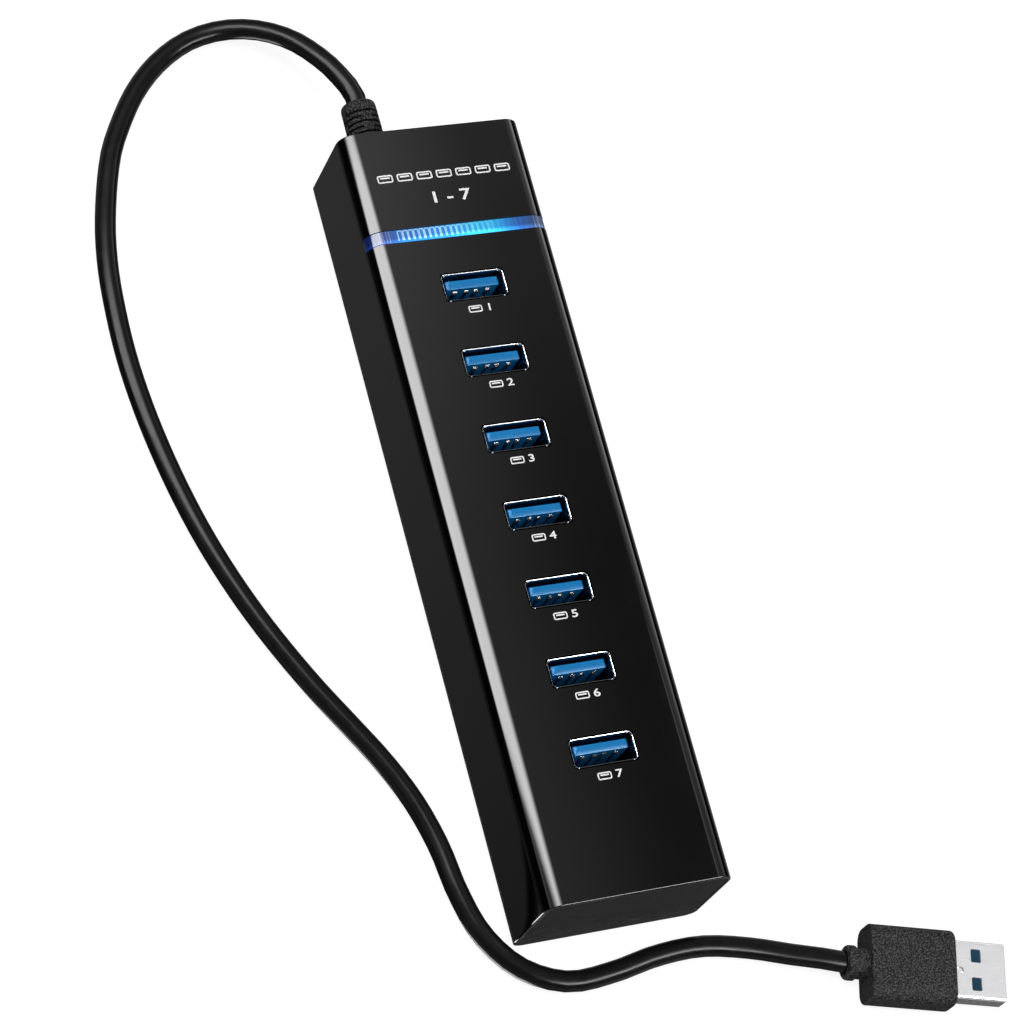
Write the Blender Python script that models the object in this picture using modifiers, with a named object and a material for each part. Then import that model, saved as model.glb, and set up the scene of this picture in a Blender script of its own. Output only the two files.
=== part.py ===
"""A seven-port USB hub with a captive lead, lying flat on its underside.

The ports are in a row along Y and face up (+Z). The lead leaves the head end (+Y), runs round the left side
and the foot end (-Y) on the surface that the hub lies on, and ends in a type A plug. Metres throughout.
"""

import math

import bmesh
import bpy
from mathutils import Matrix, Vector

# Housing
HUB_WIDTH = 0.0390
HUB_LENGTH = 0.1640
HUB_HEIGHT = 0.0252
TOP_RADIUS = 0.0038
BOTTOM_RADIUS = 0.0027
WALL = 0.0018
LIP = 0.0006  # what is left of the cover's wall where an end cap sits inside it
LIP_DEPTH = 0.0023
SEAM = 0.0002  # between two pieces of the housing
GAP = 0.0003  # between pieces that only face each other
SOLDER = 0.0001  # under a soldered piece
CAP_DEPTH = 0.0020  # of an end cap's plate
CAP_STEP_DEPTH = 0.0014  # of the step behind it, which locates it in the channel
FLOOR = 0.0018  # of the bottom cover
FLANGE_TOP = 0.0042  # of the bottom cover's edge below each end cap
RIM_TOP = 0.0060  # of the bottom cover's locating rim
RIM_WALL = 0.0008
RIM_HALF_LENGTH = 0.0780
ARC_STEPS = 8

# Sockets
PORT_COUNT = 7
PORT_PITCH = 0.01655
PORT_FIRST_Y = 0.0461
PORT_GAP = 0.00028  # between a socket's shell and the window in the cover
WINDOW_RADIUS = 0.0004
SHELL_WIDTH = 0.0131
SHELL_DEPTH = 0.00572
SHELL_WALL = 0.0003
SHELL_RADIUS = 0.0008
SHELL_RECESS = 0.00005  # of the shell's mouth below the top face
TONGUE_WIDTH = 0.0111
TONGUE_THICKNESS = 0.00184
TONGUE_SIDE_GAP = 0.00072  # from the shell's inner wall at +Y
TONGUE_RECESS = 0.0008
TONGUE_FOOT_Z = 0.0130

# Circuit board
BOARD_WIDTH = 0.0330
BOARD_BACK_Y = 0.0670
BOARD_FRONT_Y = -0.0660
BOARD_TOP = 0.0111
BOARD_THICKNESS = 0.0016
BOARD_POST_X = 0.0125
BOARD_POST_Y = (0.0640, -0.0615)

# Light bar
BAR_Y = 0.0585
BAR_WIDTH = 0.0027
BAR_LOW = 0.0221
BAR_CLEARANCE = 0.0001
WEB_HALF_LENGTH = 0.0150
WEB_THICKNESS = 0.0012
WEB_LOW = 0.0131
LED_X = (-0.0090, 0.0, 0.0090)

# Screws
SCREW_X = 0.0139
SCREW_Y = 0.0720
SCREW_HEAD_RADIUS = 0.0020
SCREW_SHANK_RADIUS = 0.0009
SCREW_HEAD_LOW = 0.0003
SCREW_HEAD_HIGH = 0.0014
SCREW_LENGTH = 0.0082
COUNTERBORE_TOP = 0.0016
POST_RADIUS = 0.0022

# Lead and strain relief
LEAD_DIAMETER = 0.0043
LEAD_X = -0.0093
LEAD_Z = 0.0126
RELIEF_RADIUS = 0.00375
RELIEF_TIP_Y = 0.0944
RELIEF_NECK_RADIUS = 0.0029
RELIEF_FLANGE_RADIUS = 0.0044
RELIEF_FLANGE_DEPTH = 0.0014
SLOT_FIRST = 0.0028  # from the tip to the middle of the nearest slot
SLOT_PITCH = 0.00122
SLOT_WIDTH = 0.00055
SLOT_DEPTH = 0.0009
SLOT_COUNT = 7
SLOT_BRIDGE = math.radians(34)  # what is left of the wall between the two halves of a slot

# The lead's way from the strain relief to the plug, as its own points.
LEAD_ROUTE = [
    (-0.0093, 0.0947, 0.0126),
    (-0.0094, 0.0972, 0.0126),
    (-0.0110, 0.1014, 0.0122),
    (-0.0136, 0.1064, 0.0113),
    (-0.0181, 0.1128, 0.0089),
    (-0.0240, 0.1172, 0.0063),
    (-0.0307, 0.1191, 0.0040),
    (-0.0380, 0.1181, 0.0026),
    (-0.0452, 0.1140, 0.0022),
    (-0.0513, 0.1081, 0.0022),
    (-0.0562, 0.1010, 0.0022),
    (-0.0601, 0.0935, 0.0022),
    (-0.0641, 0.0804, 0.0022),
    (-0.0660, 0.0698, 0.0022),
    (-0.0667, 0.0593, 0.0022),
    (-0.0667, 0.0490, 0.0022),
    (-0.0659, 0.0389, 0.0022),
    (-0.0645, 0.0290, 0.0022),
    (-0.0626, 0.0193, 0.0022),
    (-0.0602, 0.0099, 0.0022),
    (-0.0572, 0.0007, 0.0022),
    (-0.0537, -0.0082, 0.0022),
    (-0.0497, -0.0168, 0.0022),
    (-0.0453, -0.0252, 0.0022),
    (-0.0405, -0.0334, 0.0022),
    (-0.0356, -0.0420, 0.0022),
    (-0.0317, -0.0508, 0.0022),
    (-0.0291, -0.0603, 0.0022),
    (-0.0277, -0.0700, 0.0022),
    (-0.0250, -0.0792, 0.0022),
    (-0.0192, -0.0869, 0.0022),
    (-0.0106, -0.0911, 0.0022),
    (-0.0011, -0.0909, 0.0022),
    (0.0086, -0.0893, 0.0022),
    (0.0182, -0.0891, 0.0022),
    (0.0277, -0.0912, 0.0024),
    (0.0362, -0.0943, 0.0031),
    (0.0412, -0.0961, 0.0038),
    (0.04514, -0.09762, 0.0041),
]
LEAD_SPACING = 2.2 * LEAD_DIAMETER
LEAD_STRAIGHT = 0.0015  # how far it runs straight from the strain relief and into the plug

# Plug, in its own frame: X runs along it to its tip, with X = 0 where the shell leaves the grip.
PLUG_AT = (0.06746, -0.10370, 0.0041)
PLUG_YAW = math.radians(-14.9)
GRIP_LENGTH = 0.0180
GRIP_WIDTH = 0.0156
GRIP_THICKNESS = 0.0082
GRIP_RADIUS = 0.0026
GRIP_END_BEVEL = 0.0007
PLUG_NECK_RADIUS = 0.0031
PLUG_NECK_LENGTH = 0.0023
PLUG_COLLAR_RADIUS = 0.0035
PLUG_COLLAR_LENGTH = 0.0022
PLUG_SHELL_WIDTH = 0.0120
PLUG_SHELL_THICKNESS = 0.0045
PLUG_SHELL_LENGTH = 0.0108
PLUG_SHELL_WALL = 0.0003
PLUG_POCKET_DEPTH = 0.0016
PLUG_SHELL_ROOT = 0.0012
PLUG_WINDOW = (0.0020, 0.0026)
PLUG_WINDOW_X = 0.0046
PLUG_WINDOW_Y = 0.0029
PLUG_BLOCK_WIDTH = 0.0108
PLUG_BLOCK_THICKNESS = 0.00190
PLUG_BLOCK_RECESS = 0.0007


for old in list(bpy.data.objects):
    bpy.data.objects.remove(old, do_unlink=True)
PARTS = bpy.data.collections.new("usb_hub")
CUTTERS = bpy.data.collections.new("cutters")
bpy.context.scene.collection.children.link(PARTS)
bpy.context.scene.collection.children.link(CUTTERS)


def new_material(name, colour, roughness, metallic=0.0, alpha=1.0):
    made = bpy.data.materials.new(name)
    made.use_nodes = True
    shader = made.node_tree.nodes["Principled BSDF"]
    shader.inputs["Base Color"].default_value = (*colour, 1.0)
    shader.inputs["Roughness"].default_value = roughness
    shader.inputs["Metallic"].default_value = metallic
    shader.inputs["Alpha"].default_value = alpha
    made.diffuse_color = (*colour, alpha)
    return made


def new_object(name, bm, material=None, matrix=None):
    """An object from the bmesh: a part if it has a material, and a hidden cutter if it has none."""
    bmesh.ops.recalc_face_normals(bm, faces=bm.faces)
    mesh = bpy.data.meshes.new(name)
    bm.to_mesh(mesh)
    bm.free()
    mesh.transform(matrix or Matrix())
    obj = bpy.data.objects.new(name, mesh)
    if material is None:
        CUTTERS.objects.link(obj)
        obj.hide_render = True
        obj.display_type = "WIRE"
    else:
        PARTS.objects.link(obj)
        mesh.materials.append(material)
    return obj


def box(name, low, high, material=None, matrix=None):
    bm = bmesh.new()
    bmesh.ops.create_cube(bm, size=1.0)
    low, high = Vector(low), Vector(high)
    bmesh.ops.scale(bm, vec=high - low, verts=bm.verts)
    bmesh.ops.translate(bm, vec=(low + high) / 2, verts=bm.verts)
    return new_object(name, bm, material, matrix)


def prism(name, outline, length, material=None, matrix=None):
    """A solid of one section: the outline lies in X and Y, and runs up Z for length."""
    bm = bmesh.new()
    face = bm.faces.new([bm.verts.new((x, y, 0)) for x, y in outline])
    grown = bmesh.ops.extrude_face_region(bm, geom=[face])["geom"]
    moved = [v for v in grown if isinstance(v, bmesh.types.BMVert)]
    bmesh.ops.translate(bm, vec=(0, 0, length), verts=moved)
    return new_object(name, bm, material, matrix)


def cylinder(name, radius, low, high, material=None, segments=20):
    """A cylinder along Z from the point low up to the height high."""
    bm = bmesh.new()
    x, y, bottom = low
    bmesh.ops.create_cone(
        bm,
        cap_ends=True,
        segments=segments,
        radius1=radius,
        radius2=radius,
        depth=high - bottom,
        matrix=Matrix.Translation((x, y, (high + bottom) / 2)),
    )
    return new_object(name, bm, material)


def turned(name, profile, material, matrix, steps=24):
    """A solid turned about Z from a profile of (radius, height) points that run from top to bottom."""
    bm = bmesh.new()
    verts = [bm.verts.new((radius, 0, height)) for radius, height in profile]
    for upper, lower in zip(verts, verts[1:]):
        bm.edges.new((upper, lower))
    mesh = bpy.data.meshes.new(name)
    bm.to_mesh(mesh)
    bm.free()
    obj = bpy.data.objects.new(name, mesh)
    obj.matrix_world = matrix
    PARTS.objects.link(obj)
    mesh.materials.append(material)
    screw = obj.modifiers.new("turn", "SCREW")
    screw.steps = steps
    screw.render_steps = steps
    screw.use_merge_vertices = True
    screw.merge_threshold = 1e-5
    screw.use_smooth_shade = True
    return obj


def boolean(piece, operation, other):
    modifier = piece.modifiers.new(f"{operation.lower()}_{other.name}", "BOOLEAN")
    modifier.operation = operation
    modifier.solver = "EXACT"
    modifier.object = other


def cut(piece, cutter):
    boolean(piece, "DIFFERENCE", cutter)


def join(piece, helper):
    boolean(piece, "UNION", helper)


def bevel(piece, width, segments=2, angle=math.radians(40)):
    modifier = piece.modifiers.new("bevel", "BEVEL")
    modifier.width = width
    modifier.segments = segments
    modifier.limit_method = "ANGLE"
    modifier.angle_limit = angle


def shade_smooth(piece, angle=math.radians(30)):
    piece.data.shade_smooth()
    piece.data.set_sharp_from_angle(angle=angle)


def arc(centre_x, centre_y, radius, start, stop, steps=ARC_STEPS):
    """Points of an arc, with its angles in degrees."""
    angles = [math.radians(start + (stop - start) * i / steps) for i in range(steps + 1)]
    return [(centre_x + radius * math.cos(a), centre_y + radius * math.sin(a)) for a in angles]


def arch(inset, low):
    """The housing's section over the top, in X and Z, with its feet at height low on both sides."""
    half = HUB_WIDTH / 2 - inset
    radius = TOP_RADIUS - inset
    centre_z = HUB_HEIGHT - TOP_RADIUS
    rise = max(0.0, low - centre_z)
    first = math.degrees(math.asin(rise / radius))
    left = arc(radius - half, centre_z, radius, 180 - first, 90)
    right = arc(half - radius, centre_z, radius, 90, first)
    if rise > 0:
        return left + right
    return [(-half, low)] + left + right + [(half, low)]


def rounded_rectangle(width, depth, radius, steps=3):
    x = width / 2 - radius
    y = depth / 2 - radius
    return (
        arc(x, y, radius, 0, 90, steps)
        + arc(-x, y, radius, 90, 180, steps)
        + arc(-x, -y, radius, 180, 270, steps)
        + arc(x, -y, radius, 270, 360, steps)
    )


def along_y(start):
    """Turns a prism so that its outline is in X and Z and it runs from start towards -Y."""
    return Matrix.Translation((0, start, 0)) @ Matrix.Rotation(math.radians(90), 4, "X")


def port_y(number):
    """The middle of socket 1 to 7, counted from the head end."""
    return PORT_FIRST_Y - (number - 1) * PORT_PITCH


def smooth_route(points, spacing):
    """Points at even spacing along a Catmull-Rom curve through the given ones."""
    knots = [Vector(p) for p in points]
    knots = [2 * knots[0] - knots[1]] + knots + [2 * knots[-1] - knots[-2]]
    dense = []
    for before, start, stop, after in zip(knots, knots[1:], knots[2:], knots[3:]):
        length = (stop - start).length
        leave = (stop - before) / ((stop - start).length + (start - before).length) * length
        arrive = (after - start) / ((after - stop).length + (stop - start).length) * length
        for step in range(20):
            t = step / 20
            dense.append(
                start * (2 * t**3 - 3 * t**2 + 1)
                + leave * (t**3 - 2 * t**2 + t)
                + stop * (3 * t**2 - 2 * t**3)
                + arrive * (t**3 - t**2)
            )
    dense.append(knots[-2])
    travelled = [0.0]
    for a, b in zip(dense, dense[1:]):
        travelled.append(travelled[-1] + (b - a).length)
    count = round(travelled[-1] / spacing)
    route = []
    at = 0
    for step in range(count + 1):
        wanted = travelled[-1] * step / count
        while at < len(dense) - 2 and travelled[at + 1] < wanted:
            at += 1
        share = (wanted - travelled[at]) / (travelled[at + 1] - travelled[at])
        route.append(dense[at].lerp(dense[at + 1], share))
    return route


def tube(name, points, diameter, material):
    curve = bpy.data.curves.new(name, "CURVE")
    curve.dimensions = "3D"
    curve.bevel_depth = diameter / 2
    curve.bevel_resolution = 2
    curve.use_fill_caps = True
    spline = curve.splines.new("POLY")
    spline.points.add(len(points) - 1)
    for point, place in zip(spline.points, points):
        point.co = (*place, 1.0)
    obj = bpy.data.objects.new(name, curve)
    curve.materials.append(material)
    PARTS.objects.link(obj)
    return obj


def make_top_cover(material):
    """The glossy channel that is the hub's top and both long sides, with a screw post near each corner."""
    low = BOTTOM_RADIUS + SEAM
    section = arch(0, low) + arch(WALL, low)[::-1]
    cover = prism("top_cover", section, HUB_LENGTH, material, along_y(HUB_LENGTH / 2))
    seat = arch(LIP, low - WALL)
    for name, start in (("head", HUB_LENGTH / 2 + WALL), ("foot", LIP_DEPTH - HUB_LENGTH / 2)):
        cut(cover, prism(f"cut_{name}_seat", seat, LIP_DEPTH + WALL, None, along_y(start)))
    gaps = 2 * PORT_GAP
    window = rounded_rectangle(SHELL_WIDTH + gaps, SHELL_DEPTH + gaps, WINDOW_RADIUS)
    for number in range(1, PORT_COUNT + 1):
        place = Matrix.Translation((0, port_y(number), HUB_HEIGHT - 2 * WALL))
        cut(cover, prism(f"cut_window_{number}", window, 3 * WALL, None, place))
    half_slot = BAR_WIDTH / 2 + BAR_CLEARANCE
    cut(
        cover,
        box(
            "cut_bar_slot",
            (-HUB_WIDTH, BAR_Y - half_slot, BAR_LOW - BAR_CLEARANCE),
            (HUB_WIDTH, BAR_Y + half_slot, HUB_HEIGHT + WALL),
        ),
    )
    post_low = BOTTOM_RADIUS + 2 * GAP
    for x in (-SCREW_X, SCREW_X):
        for y in (-SCREW_Y, SCREW_Y):
            post = cylinder("post", POST_RADIUS, (x, y, post_low), HUB_HEIGHT - WALL / 2, None, 16)
            join(cover, post)
            hole_top = post_low + SCREW_LENGTH
            hole_radius = SCREW_SHANK_RADIUS + GAP / 2
            cut(cover, cylinder("post_hole", hole_radius, (x, y, 0), hole_top, None, 12))
    shade_smooth(cover)


def make_bottom_cover(material):
    """The underside: a tray with rounded long edges, a rim inside the walls, end flanges, and posts."""
    half = HUB_WIDTH / 2
    section = arc(BOTTOM_RADIUS - half, BOTTOM_RADIUS, BOTTOM_RADIUS, 180, 270)
    section += arc(half - BOTTOM_RADIUS, BOTTOM_RADIUS, BOTTOM_RADIUS, 270, 360)
    tray = prism("bottom_cover", section, HUB_LENGTH, material, along_y(HUB_LENGTH / 2))
    rim_x = half - WALL - GAP
    join(
        tray,
        box("rim", (-rim_x, -RIM_HALF_LENGTH, FLOOR), (rim_x, RIM_HALF_LENGTH, RIM_TOP)),
    )
    inner_x = rim_x - RIM_WALL
    inner_y = RIM_HALF_LENGTH - RIM_WALL
    cut(tray, box("cut_tray", (-inner_x, -inner_y, FLOOR), (inner_x, inner_y, 2 * RIM_TOP)))
    flange_x = half - LIP - SEAM
    outer = HUB_LENGTH / 2
    inner = outer - CAP_DEPTH
    join(tray, box("head_flange", (-flange_x, inner, FLOOR), (flange_x, outer, FLANGE_TOP)))
    join(tray, box("foot_flange", (-flange_x, -outer, FLOOR), (flange_x, -inner, FLANGE_TOP)))
    board_low = BOARD_TOP - BOARD_THICKNESS
    for x in (-BOARD_POST_X, BOARD_POST_X):
        for y in BOARD_POST_Y:
            join(tray, cylinder("board_post", POST_RADIUS, (x, y, FLOOR / 2), board_low - GAP, None, 16))
    boss_radius = SCREW_HEAD_RADIUS + WALL / 2
    boss_top = BOTTOM_RADIUS + GAP
    for x in (-SCREW_X, SCREW_X):
        for y in (-SCREW_Y, SCREW_Y):
            join(tray, cylinder("boss", boss_radius, (x, y, FLOOR / 2), boss_top, None, 16))
            hole_radius = SCREW_SHANK_RADIUS + GAP
            cut(tray, cylinder("boss_hole", hole_radius, (x, y, -WALL), RIM_TOP, None, 12))
            bore_radius = SCREW_HEAD_RADIUS + GAP
            cut(tray, cylinder("counterbore", bore_radius, (x, y, -WALL), COUNTERBORE_TOP, None, 20))
    shade_smooth(tray)


def make_end_cap(name, end, material):
    """The plate that closes the head (end 1) or the foot (end -1), with its locating step."""
    plate = arch(LIP + SEAM, FLANGE_TOP + SEAM)
    step = arch(WALL + GAP, FLANGE_TOP + 4 * SEAM)
    outer = HUB_LENGTH / 2
    inner = outer - CAP_DEPTH
    plate_start = outer if end > 0 else -inner
    step_start = inner + GAP if end > 0 else CAP_STEP_DEPTH - inner
    cap = prism(name, plate, CAP_DEPTH, material, along_y(plate_start))
    join(cap, prism(f"step_{name}", step, CAP_STEP_DEPTH + GAP, None, along_y(step_start)))
    return cap


def make_end_caps(material):
    make_end_cap("foot_end_cap", -1, material)
    head = make_end_cap("head_end_cap", 1, material)
    outline = arc(LEAD_X, LEAD_Z, RELIEF_NECK_RADIUS + SEAM, 0, 345, 23)
    cut(head, prism("cut_lead_hole", outline, 0.010, None, along_y(HUB_LENGTH / 2 + WALL)))


def make_light_bar(material):
    """The clear bar in the slot, which wraps the cover's edges, with a web that leads light up to it."""
    section = arch(0, BAR_LOW) + arch(WALL, BAR_LOW)[::-1]
    bar = prism("light_bar", section, BAR_WIDTH, material, along_y(BAR_Y + BAR_WIDTH / 2))
    half = WEB_THICKNESS / 2
    join(
        bar,
        box(
            "bar_web",
            (-WEB_HALF_LENGTH, BAR_Y - half, WEB_LOW),
            (WEB_HALF_LENGTH, BAR_Y + half, HUB_HEIGHT - WALL / 2),
        ),
    )
    shade_smooth(bar)


def make_board(material):
    half = BOARD_WIDTH / 2
    low = BOARD_TOP - BOARD_THICKNESS
    box("circuit_board", (-half, BOARD_FRONT_Y, low), (half, BOARD_BACK_Y, BOARD_TOP), material)


def on_board(name, x, y, size, material, below=False):
    """A box-shaped electronic piece of the given size, soldered to the board's top or underside."""
    width, length, height = size
    low = BOARD_TOP + SOLDER
    if below:
        low = BOARD_TOP - BOARD_THICKNESS - SOLDER - height
    return box(
        name,
        (x - width / 2, y - length / 2, low),
        (x + width / 2, y + length / 2, low + height),
        material,
    )


def make_electronics(chip, can, choke, led, header):
    """What the board carries apart from the sockets. A piece stands between two sockets, or in the head."""
    for number, socket in enumerate((2, 5), start=1):
        y = port_y(socket) - PORT_PITCH / 2
        on_board(f"hub_controller_{number}", 0, y, (0.0090, 0.0090, 0.0009), chip, below=True)
        on_board(f"crystal_{number}", 0.0085, y, (0.0032, 0.0025, 0.0008), can, below=True)
    on_board("voltage_regulator", -0.0080, 0.0560, (0.0065, 0.0035, 0.0016), chip, below=True)
    on_board("power_inductor", 0.0020, 0.0560, (0.0050, 0.0050, 0.0025), choke, below=True)
    for number, socket in enumerate((1, 3, 6), start=1):
        y = port_y(socket) - PORT_PITCH / 2
        base = BOARD_TOP + SOLDER
        cylinder(f"capacitor_{number}", 0.0030, (0.0100, y, base), base + 0.0070, can, 20)
    for number, x in enumerate(LED_X, start=1):
        on_board(f"led_{number}", x, BAR_Y, (0.0035, 0.0028, 0.0016), led)
    on_board("lead_header", LEAD_X, BOARD_BACK_Y - 0.0025, (0.0100, 0.0044, 0.0060), header)


def make_port(number, metal, blue, black):
    """One upright type A socket: its metal shell, its contact tongue, and the block under the tongue."""
    y = port_y(number)
    mouth = HUB_HEIGHT - SHELL_RECESS
    foot = BOARD_TOP + SOLDER
    bm = bmesh.new()
    outline = rounded_rectangle(SHELL_WIDTH, SHELL_DEPTH, SHELL_RADIUS)
    ring = [bm.verts.new((px, py + y, foot)) for px, py in outline]
    edges = [bm.edges.new((a, b)) for a, b in zip(ring, ring[1:] + ring[:1])]
    grown = bmesh.ops.extrude_edge_only(bm, edges=edges)["geom"]
    upper = [v for v in grown if isinstance(v, bmesh.types.BMVert)]
    bmesh.ops.translate(bm, vec=(0, 0, mouth - foot), verts=upper)
    shell = new_object(f"port_shell_{number}", bm, metal)
    wall = shell.modifiers.new("wall", "SOLIDIFY")
    wall.thickness = SHELL_WALL
    wall.offset = -1.0
    shade_smooth(shell)

    inner_x = SHELL_WIDTH / 2 - SHELL_WALL - GAP
    inner_y = SHELL_DEPTH / 2 - SHELL_WALL - GAP
    box(
        f"port_block_{number}",
        (-inner_x, y - inner_y, foot + SOLDER),
        (inner_x, y + inner_y, TONGUE_FOOT_Z - GAP),
        black,
    )
    back = y + SHELL_DEPTH / 2 - SHELL_WALL - TONGUE_SIDE_GAP
    tongue = box(
        f"port_tongue_{number}",
        (-TONGUE_WIDTH / 2, back - TONGUE_THICKNESS, TONGUE_FOOT_Z),
        (TONGUE_WIDTH / 2, back, HUB_HEIGHT - TONGUE_RECESS),
        blue,
    )
    bevel(tongue, 0.0002, 1)


def make_screw(number, x, y, material):
    top = SCREW_HEAD_HIGH + SCREW_LENGTH
    profile = [
        (0, top),
        (SCREW_SHANK_RADIUS * 0.4, top),
        (SCREW_SHANK_RADIUS, top - SCREW_SHANK_RADIUS),
        (SCREW_SHANK_RADIUS, SCREW_HEAD_HIGH),
        (SCREW_HEAD_RADIUS, SCREW_HEAD_HIGH),
        (SCREW_HEAD_RADIUS, SCREW_HEAD_LOW + GAP),
        (SCREW_HEAD_RADIUS * 0.8, SCREW_HEAD_LOW),
        (0, SCREW_HEAD_LOW),
    ]
    turned(f"cover_screw_{number}", profile, material, Matrix.Translation((x, y, 0)), steps=16)


def slot_cutter(name, y, start, sweep):
    """A square section swept round the lead's axis, from the angle start above +X."""
    bm = bmesh.new()
    low = RELIEF_RADIUS - SLOT_DEPTH
    high = RELIEF_RADIUS + SLOT_DEPTH
    half = SLOT_WIDTH / 2
    corners = [(low, -half), (high, -half), (high, half), (low, half)]
    face = bm.faces.new([bm.verts.new((radius, along, 0)) for radius, along in corners])
    bmesh.ops.rotate(bm, verts=bm.verts, matrix=Matrix.Rotation(-start, 3, "Y"))
    geom = list(face.verts) + list(face.edges) + [face]
    bmesh.ops.spin(bm, geom=geom, axis=(0, 1, 0), cent=(0, 0, 0), angle=-sweep, steps=10)
    return new_object(name, bm, None, Matrix.Translation((LEAD_X, y, LEAD_Z)))


def make_strain_relief(material):
    """The boot on the head end: flange inside the cap, neck through it, body with staggered slots."""
    outside = HUB_LENGTH / 2 + GAP
    flange_outer = HUB_LENGTH / 2 - CAP_DEPTH - CAP_STEP_DEPTH - GAP
    flange_inner = flange_outer - RELIEF_FLANGE_DEPTH
    profile = [
        (0, RELIEF_TIP_Y),
        (RELIEF_RADIUS * 0.80, RELIEF_TIP_Y),
        (RELIEF_RADIUS * 0.94, RELIEF_TIP_Y - 0.0004),
        (RELIEF_RADIUS * 0.97, RELIEF_TIP_Y - 0.0012),
        (RELIEF_RADIUS, outside + 0.0040),
        (RELIEF_RADIUS, outside),
        (RELIEF_NECK_RADIUS, outside),
        (RELIEF_NECK_RADIUS, flange_outer),
        (RELIEF_FLANGE_RADIUS, flange_outer),
        (RELIEF_FLANGE_RADIUS, flange_inner),
        (0, flange_inner),
    ]
    place = Matrix.Translation((LEAD_X, 0, LEAD_Z)) @ Matrix.Rotation(math.radians(-90), 4, "X")
    relief = turned("strain_relief", profile, material, place, steps=32)
    sweep = math.pi - SLOT_BRIDGE
    for slot in range(SLOT_COUNT):
        y = RELIEF_TIP_Y - SLOT_FIRST - slot * SLOT_PITCH
        bridge = math.radians(90) * (slot % 2)
        for half, turn in (("upper", 0), ("lower", math.pi)):
            start = bridge + turn + SLOT_BRIDGE / 2
            cut(relief, slot_cutter(f"slot_{slot + 1}_{half}", y, start, sweep))


def make_lead(material):
    """The free lead on the surface, and the stretch of it inside the housing."""
    route = smooth_route(LEAD_ROUTE, LEAD_SPACING)
    route.insert(1, route[0] + Vector((0, LEAD_STRAIGHT, 0)))
    route.insert(-1, route[-1] - LEAD_STRAIGHT * Vector((math.cos(PLUG_YAW), math.sin(PLUG_YAW), 0)))
    tube("lead_cable", route, LEAD_DIAMETER, material)
    flange = HUB_LENGTH / 2 - CAP_DEPTH - CAP_STEP_DEPTH - RELIEF_FLANGE_DEPTH - 2 * GAP
    inside = [
        (LEAD_X, flange, LEAD_Z),
        (LEAD_X, flange - 0.0025, LEAD_Z + 0.0002),
        (LEAD_X, flange - 0.0060, LEAD_Z + 0.0010),
        (LEAD_X, BOARD_BACK_Y, LEAD_Z + 0.0013),
    ]
    tube("lead_tail", smooth_route(inside, LEAD_SPACING / 3), LEAD_DIAMETER, material)


def plug_place():
    return Matrix.Translation(PLUG_AT) @ Matrix.Rotation(PLUG_YAW, 4, "Z")


def along_plug(start):
    """Turns a prism so that its outline is across the plug and it runs from start towards the tip."""
    turn = Matrix.Rotation(math.radians(90), 4, "Z") @ Matrix.Rotation(math.radians(90), 4, "X")
    return plug_place() @ Matrix.Translation((start, 0, 0)) @ turn


def make_plug(grip_material, metal, blue):
    """The type A plug that ends the lead: moulded grip, shell with four windows, and contact block."""
    section = rounded_rectangle(GRIP_WIDTH, GRIP_THICKNESS, GRIP_RADIUS, 5)
    grip = prism("plug_grip", section, GRIP_LENGTH, grip_material, along_plug(-GRIP_LENGTH))
    bevel(grip, GRIP_END_BEVEL, 2, math.radians(60))
    neck_start = -GRIP_LENGTH - PLUG_NECK_LENGTH
    neck = arc(0, 0, PLUG_NECK_RADIUS, 0, 345, 23)
    join(grip, prism("plug_neck", neck, PLUG_NECK_LENGTH + GAP, None, along_plug(neck_start)))
    collar = arc(0, 0, PLUG_COLLAR_RADIUS, 0, 345, 23)
    collar_start = neck_start - PLUG_COLLAR_LENGTH
    collar_piece = prism("plug_collar", collar, PLUG_COLLAR_LENGTH + GAP, None, along_plug(collar_start))
    bevel(collar_piece, 0.0006, 2, math.radians(60))
    join(grip, collar_piece)
    pocket = rounded_rectangle(PLUG_SHELL_WIDTH + 2 * GAP, PLUG_SHELL_THICKNESS + 2 * GAP, 0.0007)
    cut(grip, prism("cut_pocket", pocket, 2 * PLUG_POCKET_DEPTH, None, along_plug(-PLUG_POCKET_DEPTH)))

    length = PLUG_SHELL_ROOT + PLUG_SHELL_LENGTH
    outer = rounded_rectangle(PLUG_SHELL_WIDTH, PLUG_SHELL_THICKNESS, 0.0006, 3)
    shell = prism("plug_shell", outer, length, metal, along_plug(-PLUG_SHELL_ROOT))
    wall = 2 * PLUG_SHELL_WALL
    inner = rounded_rectangle(PLUG_SHELL_WIDTH - wall, PLUG_SHELL_THICKNESS - wall, 0.0003, 3)
    cut(shell, prism("cut_bore", inner, 3 * length, None, along_plug(-length)))
    along, across = PLUG_WINDOW
    for side in (-PLUG_WINDOW_Y, PLUG_WINDOW_Y):
        low = (PLUG_WINDOW_X - along / 2, side - across / 2, -PLUG_SHELL_THICKNESS)
        high = (PLUG_WINDOW_X + along / 2, side + across / 2, PLUG_SHELL_THICKNESS)
        cut(shell, box("cut_plug_window", low, high, None, plug_place()))
    shade_smooth(shell)

    block_top = PLUG_SHELL_THICKNESS / 2 - PLUG_SHELL_WALL - GAP / 2
    box(
        "plug_block",
        (-PLUG_SHELL_ROOT, -PLUG_BLOCK_WIDTH / 2, block_top - PLUG_BLOCK_THICKNESS),
        (PLUG_SHELL_LENGTH - PLUG_BLOCK_RECESS, PLUG_BLOCK_WIDTH / 2, block_top),
        blue,
        plug_place(),
    )


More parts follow.
